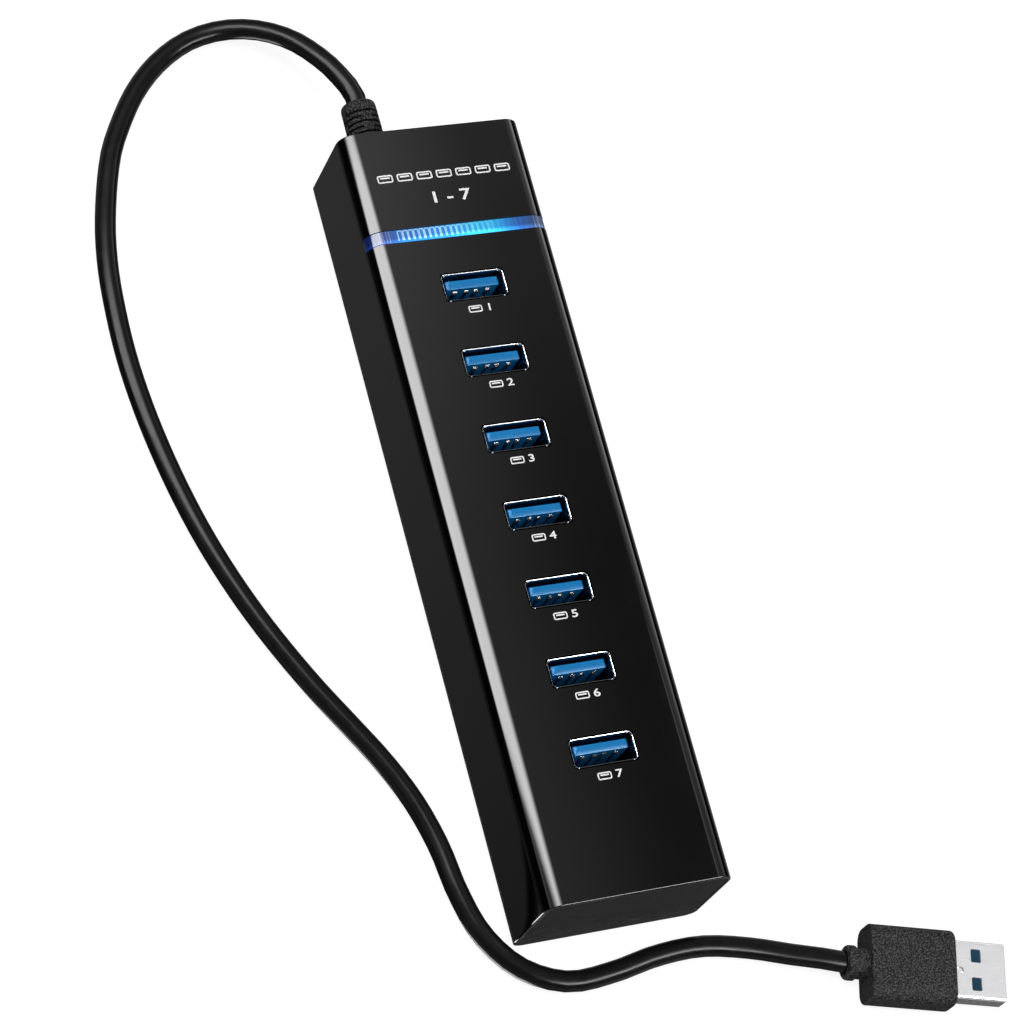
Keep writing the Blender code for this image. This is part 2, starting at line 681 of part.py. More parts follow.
def main():
    gloss_black = new_material("gloss_black", (0.012, 0.012, 0.013), 0.12)
    matte_black = new_material("matte_black", (0.030, 0.030, 0.032), 0.55)
    lead_black = new_material("lead_black", (0.014, 0.014, 0.015), 0.25)
    clear_bar = new_material("clear_bar", (0.10, 0.42, 0.95), 0.08, alpha=0.6)
    steel = new_material("steel", (0.72, 0.72, 0.74), 0.25, 1.0)
    usb_blue = new_material("usb_blue", (0.03, 0.28, 0.62), 0.40)
    board_green = new_material("board_green", (0.02, 0.13, 0.06), 0.35)
    chip_black = new_material("chip_black", (0.02, 0.02, 0.02), 0.60)
    tin = new_material("tin", (0.60, 0.60, 0.62), 0.35, 1.0)
    ferrite = new_material("ferrite", (0.06, 0.06, 0.065), 0.70)
    led_white = new_material("led_white", (0.85, 0.88, 0.92), 0.30)
    header_white = new_material("header_white", (0.80, 0.78, 0.72), 0.45)

    make_top_cover(gloss_black)
    make_bottom_cover(matte_black)
    make_end_caps(matte_black)
    make_light_bar(clear_bar)
    make_board(board_green)
    make_electronics(chip_black, tin, ferrite, led_white, header_white)
    for number in range(1, PORT_COUNT + 1):
        make_port(number, steel, usb_blue, chip_black)
    corners = [(x, y) for x in (-SCREW_X, SCREW_X) for y in (-SCREW_Y, SCREW_Y)]
    for number, (x, y) in enumerate(corners, start=1):
        make_screw(number, x, y, steel)
    make_strain_relief(matte_black)
    make_lead(lead_black)
    make_plug(matte_black, steel, usb_blue)


main()
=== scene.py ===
"""The looks of a seven-port USB hub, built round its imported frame. Metres, +Z up; the lead leaves at +Y."""

import math

import bmesh
import bpy
from mathutils import Matrix, Quaternion, Vector
from mathutils.geometry import interpolate_bezier


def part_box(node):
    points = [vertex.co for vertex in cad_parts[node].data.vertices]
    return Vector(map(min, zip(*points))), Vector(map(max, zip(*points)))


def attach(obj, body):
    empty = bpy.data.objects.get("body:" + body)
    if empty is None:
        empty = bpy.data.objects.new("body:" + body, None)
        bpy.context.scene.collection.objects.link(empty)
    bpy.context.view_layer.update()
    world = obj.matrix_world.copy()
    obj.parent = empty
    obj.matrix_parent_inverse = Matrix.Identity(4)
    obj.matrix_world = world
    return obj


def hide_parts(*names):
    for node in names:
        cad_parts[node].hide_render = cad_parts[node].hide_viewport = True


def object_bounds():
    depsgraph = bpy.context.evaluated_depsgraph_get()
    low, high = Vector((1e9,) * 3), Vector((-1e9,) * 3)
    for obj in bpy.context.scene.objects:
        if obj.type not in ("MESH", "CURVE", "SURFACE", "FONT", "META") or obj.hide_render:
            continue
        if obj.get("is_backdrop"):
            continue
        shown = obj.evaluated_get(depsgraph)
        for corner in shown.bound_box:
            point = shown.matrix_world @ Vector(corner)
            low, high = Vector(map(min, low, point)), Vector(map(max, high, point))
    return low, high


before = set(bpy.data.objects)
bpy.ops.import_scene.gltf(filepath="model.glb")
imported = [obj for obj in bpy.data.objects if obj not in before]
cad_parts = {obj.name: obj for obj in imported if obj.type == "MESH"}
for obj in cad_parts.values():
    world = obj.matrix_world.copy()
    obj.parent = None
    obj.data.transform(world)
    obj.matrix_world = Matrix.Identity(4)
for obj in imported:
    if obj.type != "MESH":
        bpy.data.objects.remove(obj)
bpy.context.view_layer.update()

# Camera
CAMERA_AT = Vector((-0.27775, -0.25008, 0.70041))
CAMERA_AIM = Vector((-0.00014, 0.00185, 0.0126))
CAMERA_ROLL = math.radians(36.07)
CAMERA_LENS = 138.8  # millimetres, on Blender's 36 mm sensor

# Housing: what the frame's boxes don't say
TOP_RADIUS = 0.0038
BOTTOM_RADIUS = 0.0027
WALL = 0.0018
LIP = 0.0006
SEAM = 0.0002
GAP = 0.0003
CAP_DEPTH = 0.0020
EDGE = 0.00015
PORT_COUNT = 7
PORT_GAP = 0.00028
WINDOW_RADIUS = 0.0009
SHELL_RADIUS = 0.0008
SHELL_WALL = 0.0003
PIN_X = (-0.0035, -0.0010, 0.0010, 0.0035)
INK = 0.00002  # how far the printing stands proud

# Lead and strain relief
LEAD_DIAMETER = 0.0043
LEAD_X = -0.0093
LEAD_Z = 0.0126
RELIEF_RADIUS = 0.00375
RELIEF_NECK_RADIUS = 0.0029
RELIEF_FLANGE_RADIUS = 0.0044
RELIEF_MOUTH_DEPTH = 0.0016
RELIEF_STRAIGHT = 0.0040  # how far from the cap its full radius reaches
SLOT_COUNT = 7
SLOT_FIRST = 0.0028
SLOT_PITCH = 0.00122
SLOT_WIDTH = 0.00055
SLOT_DEPTH = 0.0009
SLOT_BRIDGE = math.radians(34)

# The lead's way from the strain relief to the plug, and how far its ends go inside them
LEAD_ROUTE = [
    (-0.0093, 0.0947, 0.0126),
    (-0.0094, 0.0972, 0.0126),
    (-0.0110, 0.1014, 0.0122),
    (-0.0136, 0.1064, 0.0113),
    (-0.0181, 0.1128, 0.0089),
    (-0.0240, 0.1172, 0.0063),
    (-0.0307, 0.1191, 0.0040),
    (-0.0380, 0.1181, 0.0026),
    (-0.0452, 0.1140, 0.0022),
    (-0.0513, 0.1081, 0.0022),
    (-0.0562, 0.1010, 0.0022),
    (-0.0601, 0.0935, 0.0022),
    (-0.0641, 0.0804, 0.0022),
    (-0.0660, 0.0698, 0.0022),
    (-0.0667, 0.0593, 0.0022),
    (-0.0667, 0.0490, 0.0022),
    (-0.0659, 0.0389, 0.0022),
    (-0.0645, 0.0290, 0.0022),
    (-0.0626, 0.0193, 0.0022),
    (-0.0602, 0.0099, 0.0022),
    (-0.0572, 0.0007, 0.0022),
    (-0.0537, -0.0082, 0.0022),
    (-0.0497, -0.0168, 0.0022),
    (-0.0453, -0.0252, 0.0022),
    (-0.0405, -0.0334, 0.0022),
    (-0.0356, -0.0420, 0.0022),
    (-0.0317, -0.0508, 0.0022),
    (-0.0291, -0.0603, 0.0022),
    (-0.0277, -0.0700, 0.0022),
    (-0.0250, -0.0792, 0.0022),
    (-0.0192, -0.0869, 0.0022),
    (-0.0106, -0.0911, 0.0022),
    (-0.0011, -0.0909, 0.0022),
    (0.0086, -0.0893, 0.0022),
    (0.0182, -0.0891, 0.0022),
    (0.0277, -0.0912, 0.0024),
    (0.0362, -0.0943, 0.0031),
    (0.0412, -0.0961, 0.0038),
    (0.04514, -0.09762, 0.0041),
]
LEAD_SPACING = 0.0030
LEAD_IN_BOOT = 0.0014
LEAD_CLEAR_OF_NECK = 0.0006

# Plug, in its own frame: X runs along it to its tip, with X = 0 where the shell leaves the grip
PLUG_AT = (0.06746, -0.10370, 0.0041)
PLUG_YAW = -14.9
PLUG_CORNER = 0.0007
GRIP_LENGTH = 0.0180
GRIP_WIDTH = 0.0156
GRIP_THICKNESS = 0.0082
GRIP_RADIUS = 0.0026
GRIP_REAR_ROUNDING = 0.00035
GRIP_FRONT_ROUNDING = 0.0009
PLUG_NECK_RADIUS = 0.0031
PLUG_NECK_LENGTH = 0.0023
PLUG_COLLAR_RADIUS = 0.0035
PLUG_COLLAR_LENGTH = 0.0022
PLUG_COLLAR_FLOOR = 0.0004
PLUG_COLLAR_ROUNDINGS = (0.0008, 0.0005)  # towards the lead, and towards the neck
PLUG_POCKET_DEPTH = 0.0016
PLUG_SHELL_WIDTH = 0.0120
PLUG_SHELL_THICKNESS = 0.0045
PLUG_SHELL_LENGTH = 0.0108
PLUG_SHELL_ROOT = 0.0012
PLUG_WINDOW = (0.0020, 0.0026)  # along and across
PLUG_WINDOW_RADIUS = 0.00025
PLUG_WINDOW_X = 0.0046
PLUG_WINDOW_Y = 0.0029
DIMPLE_AT = (0.0012, -0.0002)
DIMPLE_RADIUS = 0.00075
DIMPLE_FLOOR_RADIUS = 0.00045
DIMPLE_DEPTH = 0.00022
PLUG_BLOCK_WIDTH = 0.0108
PLUG_BLOCK_THICKNESS = 0.0019
PLUG_BLOCK_BACK = 0.0007  # how far inside the shell's mouth the block ends
CONTACT_SUNK = 0.0001
CONTACT_BEVEL = 0.00003
FLAT_START = 0.0010
FLAT_BACK = 0.0006
FLAT_HALF = 0.0005
FLAT_PROUD = 0.00006
SPRUNG_Y = (-0.0040, -0.0020, 0.0, 0.0020, 0.0040)
SPRUNG_START = 0.0002
SPRUNG_STOP = 0.0007
SPRUNG_HALF = 0.0003
SPRUNG_PROUD = 0.0003

low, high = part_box("top_cover")
HALF_WIDTH = high.x
HALF_LENGTH = high.y
HUB_TOP = high.z
COVER_LOW = low.z
CAP_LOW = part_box("foot_end_cap")[0].z
SHELL_LOW, SHELL_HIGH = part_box("port_shell_1")
PORT_WIDTH = SHELL_HIGH.x - SHELL_LOW.x
PORT_DEPTH = SHELL_HIGH.y - SHELL_LOW.y


# ---- materials ----


class Shading:
    """A node tree, and short calls that add nodes to it. Its patterns follow one node's coordinates."""

    def __init__(self, tree, source, output):
        self.nodes = tree.nodes
        self.links = tree.links
        self.place = self.add(source).outputs[output]

    def feed(self, node, socket, value):
        """Sets a node's input, or links it where the value is another node's output."""
        if isinstance(value, bpy.types.NodeSocket):
            self.links.new(value, node.inputs[socket])
        else:
            node.inputs[socket].default_value = value

    def add(self, kind, inputs=None, **settings):
        node = self.nodes.new(kind)
        for name, value in settings.items():
            setattr(node, name, value)
        for socket, value in (inputs or {}).items():
            self.feed(node, socket, value)
        return node

    def axis(self, name):
        return self.add("ShaderNodeSeparateXYZ", {"Vector": self.place}).outputs[name]

    def ranged(self, value, low, high, start=0.3, stop=0.7, interpolation="LINEAR"):
        """Goes from low to high while value goes from start to stop."""
        inputs = {"Value": value, "From Min": start, "From Max": stop, "To Min": low, "To Max": high}
        return self.add("ShaderNodeMapRange", inputs, interpolation_type=interpolation).outputs["Result"]

    def smooth(self, value, start, stop, low=0.0, high=1.0):
        """Eases from low to high while value goes from start to stop."""
        return self.ranged(value, low, high, start, stop, "SMOOTHSTEP")

    def maths(self, operation, a, b=0.0):
        return self.add("ShaderNodeMath", {0: a, 1: b}, operation=operation).outputs["Value"]

    def total(self, first, *others):
        for other in others:
            first = self.maths("ADD", first, other)
        return first

    def product(self, first, *others):
        for other in others:
            first = self.maths("MULTIPLY", first, other)
        return first


class Finish(Shading):
    """A procedural material: a Principled shader with patterns in the object's own metres."""

    def __init__(self, name, metallic=0.0, specular=0.5):
        self.material = bpy.data.materials.new(name)
        self.material.use_nodes = True
        super().__init__(self.material.node_tree, "ShaderNodeTexCoord", "Object")
        self.shader = self.nodes["Principled BSDF"]
        self.set("Metallic", metallic)
        self.set("Specular IOR Level", specular)
        self.set("IOR", 1.5)

    def set(self, socket, value):
        self.feed(self.shader, socket, value)

    def pattern(self, kind, size, stretch, inputs):
        scale = [1.0 / (size * along) for along in stretch]
        mapping = self.add("ShaderNodeMapping", {"Vector": self.place, "Scale": scale})
        return self.add(kind, {"Vector": mapping.outputs["Vector"], "Scale": 1.0} | inputs)

    def noise(self, size, detail=3.0, stretch=(1.0, 1.0, 1.0)):
        """Noise whose blobs are about size across, and longer along an axis whose stretch is over 1."""
        return self.pattern("ShaderNodeTexNoise", size, stretch, {"Detail": detail}).outputs["Fac"]

    def cells(self, size):
        """Distance to the nearest of scattered points that are about size apart."""
        return self.pattern("ShaderNodeTexVoronoi", size, (1.0, 1.0, 1.0), {}).outputs["Distance"]

    def ramp(self, value, stops):
        """Colours at places from 0 to 1."""
        node = self.add("ShaderNodeValToRGB", {"Fac": value})
        elements = node.color_ramp.elements
        for element, (place, colour) in zip(elements, (stops[0], stops[-1])):
            element.position = place
            element.color = (*colour, 1.0)
        for place, colour in stops[1:-1]:
            elements.new(place).color = (*colour, 1.0)
        return node.outputs["Color"]

    def mixed(self, share, a, b):
        """A colour between a and b, which are colours or outputs."""
        node = self.add("ShaderNodeMix", {"Factor": share}, data_type="RGBA")
        for socket, colour in (("A", a), ("B", b)):
            self.feed(node, socket, (*colour, 1.0) if isinstance(colour, tuple) else colour)
        return node.outputs["Result"]

    def colour(self, share, a, b):
        self.set("Base Color", self.mixed(share, a, b))

    def roughness(self, value, low, high, start=0.3, stop=0.7):
        self.set("Roughness", self.ranged(value, low, high, start, stop))

    def bump(self, height, depth):
        node = self.add("ShaderNodeBump", {"Height": height, "Distance": depth, "Strength": 1.0})
        self.set("Normal", node.outputs["Normal"])


def gloss_black():
    """Mirror-polished ABS: a faint ripple, uneven polish, and hairlines along the housing."""
    made = Finish("gloss_black")
    hairlines = made.ranged(made.noise(0.0005, 2.0, (1.0, 40.0, 1.0)), 0.0, 0.03, 0.55, 0.8)
    polish = made.ranged(made.noise(0.011, 4.0), 0.035, 0.075)
    made.set("Roughness", made.total(polish, hairlines))
    made.colour(made.noise(0.02), (0.0010, 0.0010, 0.0012), (0.0022, 0.0022, 0.0025))
    made.bump(made.noise(0.0035, 1.0), 0.0000012)
    return made.material


def matte_black():
    """Fine-textured ABS."""
    made = Finish("matte_black", specular=0.18)
    made.roughness(made.noise(0.004, 4.0), 0.42, 0.56)
    made.colour(made.noise(0.0015), (0.006, 0.006, 0.0065), (0.011, 0.011, 0.0115))
    made.bump(made.noise(0.00030, 2.0), 0.000012)
    return made.material


def grip_black():
    """Spark-eroded mould texture on soft PVC, with its raised grain painted lighter: a painted highlight
    where light would catch the grain.
    """
    made = Finish("grip_black", specular=0.10)
    grain = made.noise(0.00034, 1.0)
    painted_lit_grain = made.smooth(grain, 0.44, 0.64)
    made.roughness(grain, 0.46, 0.70)
    # The grain's peaks are painted light and its hollows near black: painted highlight and painted shade on
    # the grain.
    made.colour(painted_lit_grain, (0.001, 0.001, 0.0012), (0.075, 0.075, 0.077))
    made.bump(grain, 0.00022)
    return made.material


def lead_black():
    """Extruded PVC: glossy, with faint draw lines and a soft unevenness."""
    made = Finish("lead_black", specular=0.13)
    made.roughness(made.noise(0.0025, 4.0), 0.16, 0.26)
    made.colour(made.noise(0.006), (0.004, 0.004, 0.0045), (0.009, 0.009, 0.010))
    made.bump(made.noise(0.0012), 0.000008)
    return made.material


BAR_GLOW = [
    (0.000, (0.003, 0.008, 0.060)),
    (0.055, (0.004, 0.014, 0.120)),
    (0.110, (0.030, 0.080, 0.280)),
    (0.150, (0.016, 0.110, 0.400)),
    (0.185, (0.014, 0.150, 0.560)),
    (0.420, (0.018, 0.240, 0.700)),
    (0.600, (0.030, 0.420, 0.780)),
    (0.700, (0.030, 0.400, 0.760)),
    (0.760, (0.022, 0.230, 0.620)),
    (0.830, (0.020, 0.110, 0.380)),
    (0.920, (0.028, 0.060, 0.160)),
    (1.000, (0.012, 0.016, 0.030)),
]
RIDGE_GLOW = [
    (0.000, (0.030, 0.045, 0.160)),
    (0.110, (0.120, 0.200, 0.480)),
    (0.170, (0.360, 0.600, 0.800)),
    (0.420, (0.320, 0.700, 0.900)),
    (0.600, (0.080, 0.600, 0.860)),
    (0.760, (0.060, 0.420, 0.760)),
    (0.900, (0.120, 0.180, 0.320)),
    (1.000, (0.060, 0.065, 0.080)),
]


def glowing(name, stops):
    """Clear plastic lit from below: blue at its ends and cyan between, brightest along the foot side."""
    made = Finish(name)
    along = made.ranged(made.axis("X"), 0.0, 1.0, -HALF_WIDTH, HALF_WIDTH)
    streaks = made.ranged(made.noise(0.0004, 2.0, (1.0, 12.0, 12.0)), 0.80, 1.18)
    foot_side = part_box("light_bar")[0].y
    across = made.smooth(made.axis("Y"), foot_side + 0.0001, foot_side + 0.0011, 2.6, 0.95)
    made.set("Base Color", (0.004, 0.010, 0.035, 1.0))
    made.set("Emission Color", made.ramp(along, stops))
    made.set("Emission Strength", made.product(streaks, across))
    made.roughness(made.noise(0.003), 0.04, 0.10)
    made.bump(made.noise(0.0009, 2.0), 0.000002)
    return made.material


def socket_metal():
    """Nickel-plated steel with faint rolling lines, bright at the mouth; further in, painted shade and a
    painted blue reflection of the tongue turn it blue-black.
    """
    made = Finish("socket_metal", metallic=1.0)
    rolling = made.noise(0.00025, 3.0, (1.0, 1.0, 14.0))
    made.roughness(made.total(rolling, made.noise(0.002)), 0.12, 0.26, 0.7, 1.3)
    # Below the mouth the colour fades to blue-black: painted shade deep in the socket, with a painted
    # reflection of the blue tongue.
    mouth = made.ranged(made.axis("Z"), 0.0, 1.0, SHELL_HIGH.z - 0.0006, SHELL_HIGH.z - 0.0002)
    plate = made.mixed(made.noise(0.0012), (0.56, 0.56, 0.58), (0.70, 0.70, 0.71))
    painted_inner_shade = made.mixed(made.noise(0.0009, 4.0), (0.035, 0.055, 0.090), (0.11, 0.15, 0.21))
    made.colour(mouth, painted_inner_shade, plate)
    made.bump(rolling, 0.000003)
    return made.material


def plug_metal():
    """The plug's own plating: paler and a little satin, drawn along its length."""
    made = Finish("plug_metal", metallic=1.0)
    made.roughness(made.noise(0.00030, 3.0, (12.0, 1.0, 1.0)), 0.20, 0.28)
    made.colour(made.noise(0.002), (0.76, 0.76, 0.78), (0.84, 0.84, 0.85))
    made.bump(made.noise(0.004, 1.0), 0.000004)
    return made.material


def usb_blue(name, light, dark):
    """Blue glass-filled plastic, slightly mottled."""
    made = Finish(name, specular=0.15)
    mottle = made.noise(0.0005)
    made.roughness(mottle, 0.14, 0.28)
    made.colour(mottle, dark, light)
    made.bump(made.noise(0.00022, 2.0), 0.000006)
    return made.material


def contact_gold():
    """Thin, pale flash plating."""
    made = Finish("contact_gold", metallic=1.0)
    made.roughness(made.noise(0.0004), 0.16, 0.32)
    made.colour(made.noise(0.0006), (0.62, 0.58, 0.49), (0.78, 0.75, 0.69))
    made.bump(made.noise(0.0003), 0.000002)
    return made.material


def print_white():
    """Pad-printed ink, a little thinner in places."""
    made = Finish("print_white")
    cover = made.ranged(made.noise(0.00018, 2.0), 0.0, 1.0, 0.25, 0.42)
    made.colour(cover, (0.60, 0.60, 0.60), (0.92, 0.92, 0.92))
    made.roughness(made.noise(0.0004), 0.40, 0.60)
    made.bump(made.noise(0.00015), 0.000004)
    return made.material


def board_green():
    """Solder mask over a ground plane, with darker lines where copper is etched away."""
    made = Finish("board_green")
    etched = made.ranged(made.cells(0.0022), 0.0, 1.0, 0.40, 0.50)
    made.colour(etched, (0.014, 0.120, 0.040), (0.006, 0.055, 0.022))
    made.roughness(made.noise(0.001), 0.22, 0.40)
    made.bump(etched, 0.00003)
    return made.material


def chip_black():
    """Moulded epoxy, for the chips and the terminal blocks."""
    made = Finish("chip_black")
    made.roughness(made.noise(0.0005), 0.50, 0.72)
    made.colour(made.noise(0.0003), (0.010, 0.010, 0.011), (0.022, 0.022, 0.023))
    made.bump(made.noise(0.00015), 0.000010)
    return made.material


def tin():
    """Drawn cans, for the crystals and the capacitors."""
    made = Finish("tin", metallic=1.0)
    made.roughness(made.noise(0.0008, 4.0), 0.25, 0.48)
    made.colour(made.noise(0.0015), (0.54, 0.54, 0.56), (0.70, 0.70, 0.71))
    made.bump(made.noise(0.0004), 0.000008)
    return made.material


def ferrite():
    """The inductor's sintered body."""
    made = Finish("ferrite")
    made.roughness(made.noise(0.0006), 0.58, 0.82)
    made.colour(made.cells(0.0004), (0.040, 0.040, 0.044), (0.085, 0.085, 0.090))
    made.bump(made.noise(0.00025), 0.00002)
    return made.material


def led_white():
    """Phosphor under clear resin, lit."""
    made = Finish("led_white")
    made.set("Emission Color", (0.15, 0.55, 1.0, 1.0))
    made.set("Emission Strength", made.ranged(made.noise(0.0008), 1.5, 2.5))
    made.colour(made.noise(0.0006), (0.70, 0.78, 0.90), (0.84, 0.88, 0.94))
    made.roughness(made.noise(0.0005), 0.2, 0.4)
    return made.material


def header_white():
    """The lead's header on the board."""
    made = Finish("header_white")
    made.roughness(made.noise(0.0008), 0.38, 0.55)
    made.colour(made.noise(0.0010), (0.74, 0.71, 0.64), (0.85, 0.82, 0.75))
    made.bump(made.noise(0.0003), 0.000010)
    return made.material


def screw_steel():
    """Black-zinc screws with bright wear."""
    made = Finish("screw_steel", metallic=1.0)
    wear = made.ranged(made.noise(0.0004, 4.0), 0.0, 1.0, 0.45, 0.65)
    made.colour(wear, (0.22, 0.22, 0.23), (0.48, 0.47, 0.46))
    made.roughness(made.noise(0.0003), 0.24, 0.44)
    made.bump(made.noise(0.0002), 0.000006)
    return made.material


# ---- shapes ----


def shift(x, y, z):
    return Matrix.Translation((x, y, z))


def spin(degrees, axis="Z"):
    return Matrix.Rotation(math.radians(degrees), 4, axis)


def link(piece):
    bpy.context.scene.collection.objects.link(piece)


def new_object(name, bm, material=None, matrix=None):
    bmesh.ops.recalc_face_normals(bm, faces=bm.faces)
    mesh = bpy.data.meshes.new(name)
    bm.to_mesh(mesh)
    bm.free()
    mesh.transform(matrix or Matrix())
    piece = bpy.data.objects.new(name, mesh)
    link(piece)
    if material:
        mesh.materials.append(material)
    return piece


def skin(name, rings, material=None, matrix=None, closed=False):
    """A skin through rings of equal counts, with flat caps, or closed back onto the first ring."""
    bm = bmesh.new()
    loops = [[bm.verts.new(point) for point in ring] for ring in rings]
    following = loops[1:] + loops[:1] if closed else loops[1:]
    for lower, upper in zip(loops, following):
        for a, b, c, d in zip(lower, lower[1:] + lower[:1], upper[1:] + upper[:1], upper):
            bm.faces.new((a, b, c, d))
    if not closed:
        bm.faces.new(loops[0])
        bm.faces.new(loops[-1])
    return new_object(name, bm, material, matrix)


def level(outline, z):
    return [(x, y, z) for x, y in outline]


def prism(name, outline, length, material=None, matrix=None):
    """A solid of one section: the outline lies in X and Y, and runs up Z for length."""
    return skin(name, [level(outline, 0.0), level(outline, length)], material, matrix)


def rectangle(low, high):
    return [(low[0], low[1]), (high[0], low[1]), (high[0], high[1]), (low[0], high[1])]


def box(name, low, high, material=None, matrix=None):
    outline = rectangle(low, high)
    return skin(name, [level(outline, low[2]), level(outline, high[2])], material, matrix)


def arc(centre_x, centre_y, radius, start, stop, steps=16):
    """Points of an arc, with its angles in degrees."""
    angles = [math.radians(start + (stop - start) * i / steps) for i in range(steps + 1)]
    return [(centre_x + radius * math.cos(a), centre_y + radius * math.sin(a)) for a in angles]


def circle(radius, steps=48, centre=(0.0, 0.0)):
    return arc(*centre, radius, 0, 360 - 360 / steps, steps - 1)


def turned(name, profile, material, matrix, steps=64):
    """A solid turned about Z, from a profile of (radius, height) points whose radius isn't 0."""
    rings = [level(circle(radius, steps), height) for radius, height in profile]
    return skin(name, rings, material, matrix)


def rounded_rectangle(width, depth, radius, steps=8, inset=0.0):
    x = width / 2 - radius
    y = depth / 2 - radius
    radius -= inset
    return (
        arc(x, y, radius, 0, 90, steps)
        + arc(-x, y, radius, 90, 180, steps)
        + arc(-x, -y, radius, 180, 270, steps)
        + arc(x, -y, radius, 270, 360, steps)
    )


def stepped(name, size, radius, steps, profile, material=None, matrix=None, closed=False):
    """A rounded rectangle drawn through (inset, height) points, which if closed are its wall's section."""
    rings = [level(rounded_rectangle(*size, radius, steps, inset), height) for inset, height in profile]
    return skin(name, rings, material, matrix, closed)


def arch(inset, low):
    """The housing's section in X and Z, over the top from the left side at height low to the right."""
    half = HALF_WIDTH - inset
    radius = TOP_RADIUS - inset
    centre_z = HUB_TOP - TOP_RADIUS
    rise = max(0.0, low - centre_z)
    first = math.degrees(math.asin(rise / radius))
    left = arc(radius - half, centre_z, radius, 180 - first, 90, 24)
    right = arc(half - radius, centre_z, radius, 90, first, 24)
    if rise > 0:
        return left + right
    return [(-half, low)] + left + right + [(half, low)]


def ribbon(path, thickness):
    """The outline of a strip of this thickness that follows a path in a plane."""
    left = []
    right = []
    for i, point in enumerate(path):
        before = path[max(i - 1, 0)]
        after = path[min(i + 1, len(path) - 1)]
        along = Vector((after[0] - before[0], after[1] - before[1])).normalized() * thickness / 2
        left.append((point[0] - along.y, point[1] + along.x))
        right.append((point[0] + along.y, point[1] - along.x))
    return left + right[::-1]


def along_y(start):
    """Turns a prism so that its outline is in X and Z and it runs from start towards -Y."""
    return shift(0, start, 0) @ spin(90, "X")


def across_x(start):
    """Turns a prism so that its outline is in Y and Z and it runs from start towards +X."""
    return shift(start, 0, 0) @ spin(90) @ spin(90, "X")


def smooth_route(points, spacing):
    """Points at even spacing along a Catmull-Rom curve through the given ones."""
    knots = [Vector(p) for p in points]
    knots = [2 * knots[0] - knots[1]] + knots + [2 * knots[-1] - knots[-2]]
    dense = []
    for before, start, stop, after in zip(knots, knots[1:], knots[2:], knots[3:]):
        length = (stop - start).length
        leave = (stop - before) * length / (length + (start - before).length)
        arrive = (after - start) * length / (length + (after - stop).length)
        dense += interpolate_bezier(start, start + leave / 3, stop - arrive / 3, stop, 21)[:-1]
    dense.append(knots[-2])
    travelled = [0.0]
    for a, b in zip(dense, dense[1:]):
        travelled.append(travelled[-1] + (b - a).length)
    count = round(travelled[-1] / spacing)
    route = []
    at = 0
    for step in range(count + 1):
        wanted = travelled[-1] * step / count
        while at < len(dense) - 2 and travelled[at + 1] < wanted:
            at += 1
        share = (wanted - travelled[at]) / (travelled[at + 1] - travelled[at])
        route.append(dense[at].lerp(dense[at + 1], share))
    return route


def apply(piece):
    """Makes the piece's modifiers part of its mesh."""
    graph = bpy.context.evaluated_depsgraph_get()
    mesh = bpy.data.meshes.new_from_object(piece.evaluated_get(graph))
    piece.modifiers.clear()
    piece.data = mesh


def boolean(piece, operation, tool):
    modifier = piece.modifiers.new("boolean", "BOOLEAN")
    modifier.operation = operation
    modifier.solver = "EXACT"
    modifier.object = tool
    apply(piece)
    bpy.data.objects.remove(tool)


def cut(piece, tool):
    boolean(piece, "DIFFERENCE", tool)


def join(piece, tool):
    boolean(piece, "UNION", tool)


def bevel(piece, width, segments=2, angle=40):
    modifier = piece.modifiers.new("bevel", "BEVEL")
    modifier.width = width
    modifier.segments = segments
    modifier.limit_method = "ANGLE"
    modifier.angle_limit = math.radians(angle)
    apply(piece)


def merged(name, pieces):
    """One object of several pieces' meshes."""
    bm = bmesh.new()
    for piece in pieces:
        bm.from_mesh(piece.data)
    made = new_object(name, bm, pieces[0].data.materials[0])
    for piece in pieces:
        bpy.data.objects.remove(piece)
    return made


def settle(piece, nodes=(), angle=35):
    """Shades the piece and makes it part of the model."""
    piece.data.shade_smooth()
    piece.data.set_sharp_from_angle(angle=math.radians(angle))
    weighted = piece.modifiers.new("weighted_normal", "WEIGHTED_NORMAL")
    weighted.keep_sharp = True
    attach(piece, "root")
    if nodes:
        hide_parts(*nodes)
    return piece


def copied(piece, name, offset):
    made = piece.copy()
    made.data = piece.data.copy()
    made.data.transform(Matrix.Translation(offset))
    made.name = name
    link(made)
    return made


# ---- housing ----

RIM_BEVEL = 0.00026
COVER_LIP_DEPTH = 0.0023
CAP_STEP_DEPTH = 0.0014
FLOOR = 0.0018
FLANGE_TOP = CAP_LOW - SEAM
RIM_TOP = 0.0060
RIM_WALL = 0.0008
RIM_HALF_LENGTH = 0.0780
SCREW_X = 0.0139
SCREW_Y = 0.0720
SCREW_HEAD_RADIUS = 0.0020
SCREW_SHANK_RADIUS = 0.0009
SCREW_HEAD_HIGH = 0.0014
COUNTERBORE_TOP = 0.0016
POST_RADIUS = 0.0022


def port_centres():
    for number in range(1, PORT_COUNT + 1):
        low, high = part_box(f"port_shell_{number}")
        yield number, (low.y + high.y) / 2


def screw_places():
    return [(x, y) for x in (-SCREW_X, SCREW_X) for y in (-SCREW_Y, SCREW_Y)]


def pillar(radius, low, high, x, y):
    return turned("pillar", ((radius, low), (radius, high)), None, shift(x, y, 0), 32)


def cut_windows(cover):
    """A window round each socket, flared a little where it meets the top."""
    size = (PORT_WIDTH + 2 * PORT_GAP, PORT_DEPTH + 2 * PORT_GAP)
    profile = ((0.0, HUB_TOP - 2 * WALL), (0.0, HUB_TOP - EDGE / 2), (-EDGE / 3, HUB_TOP + EDGE / 2))
    for number, y in port_centres():
        cut(cover, stepped("window", size, WINDOW_RADIUS, 8, profile, None, shift(0, y, 0)))


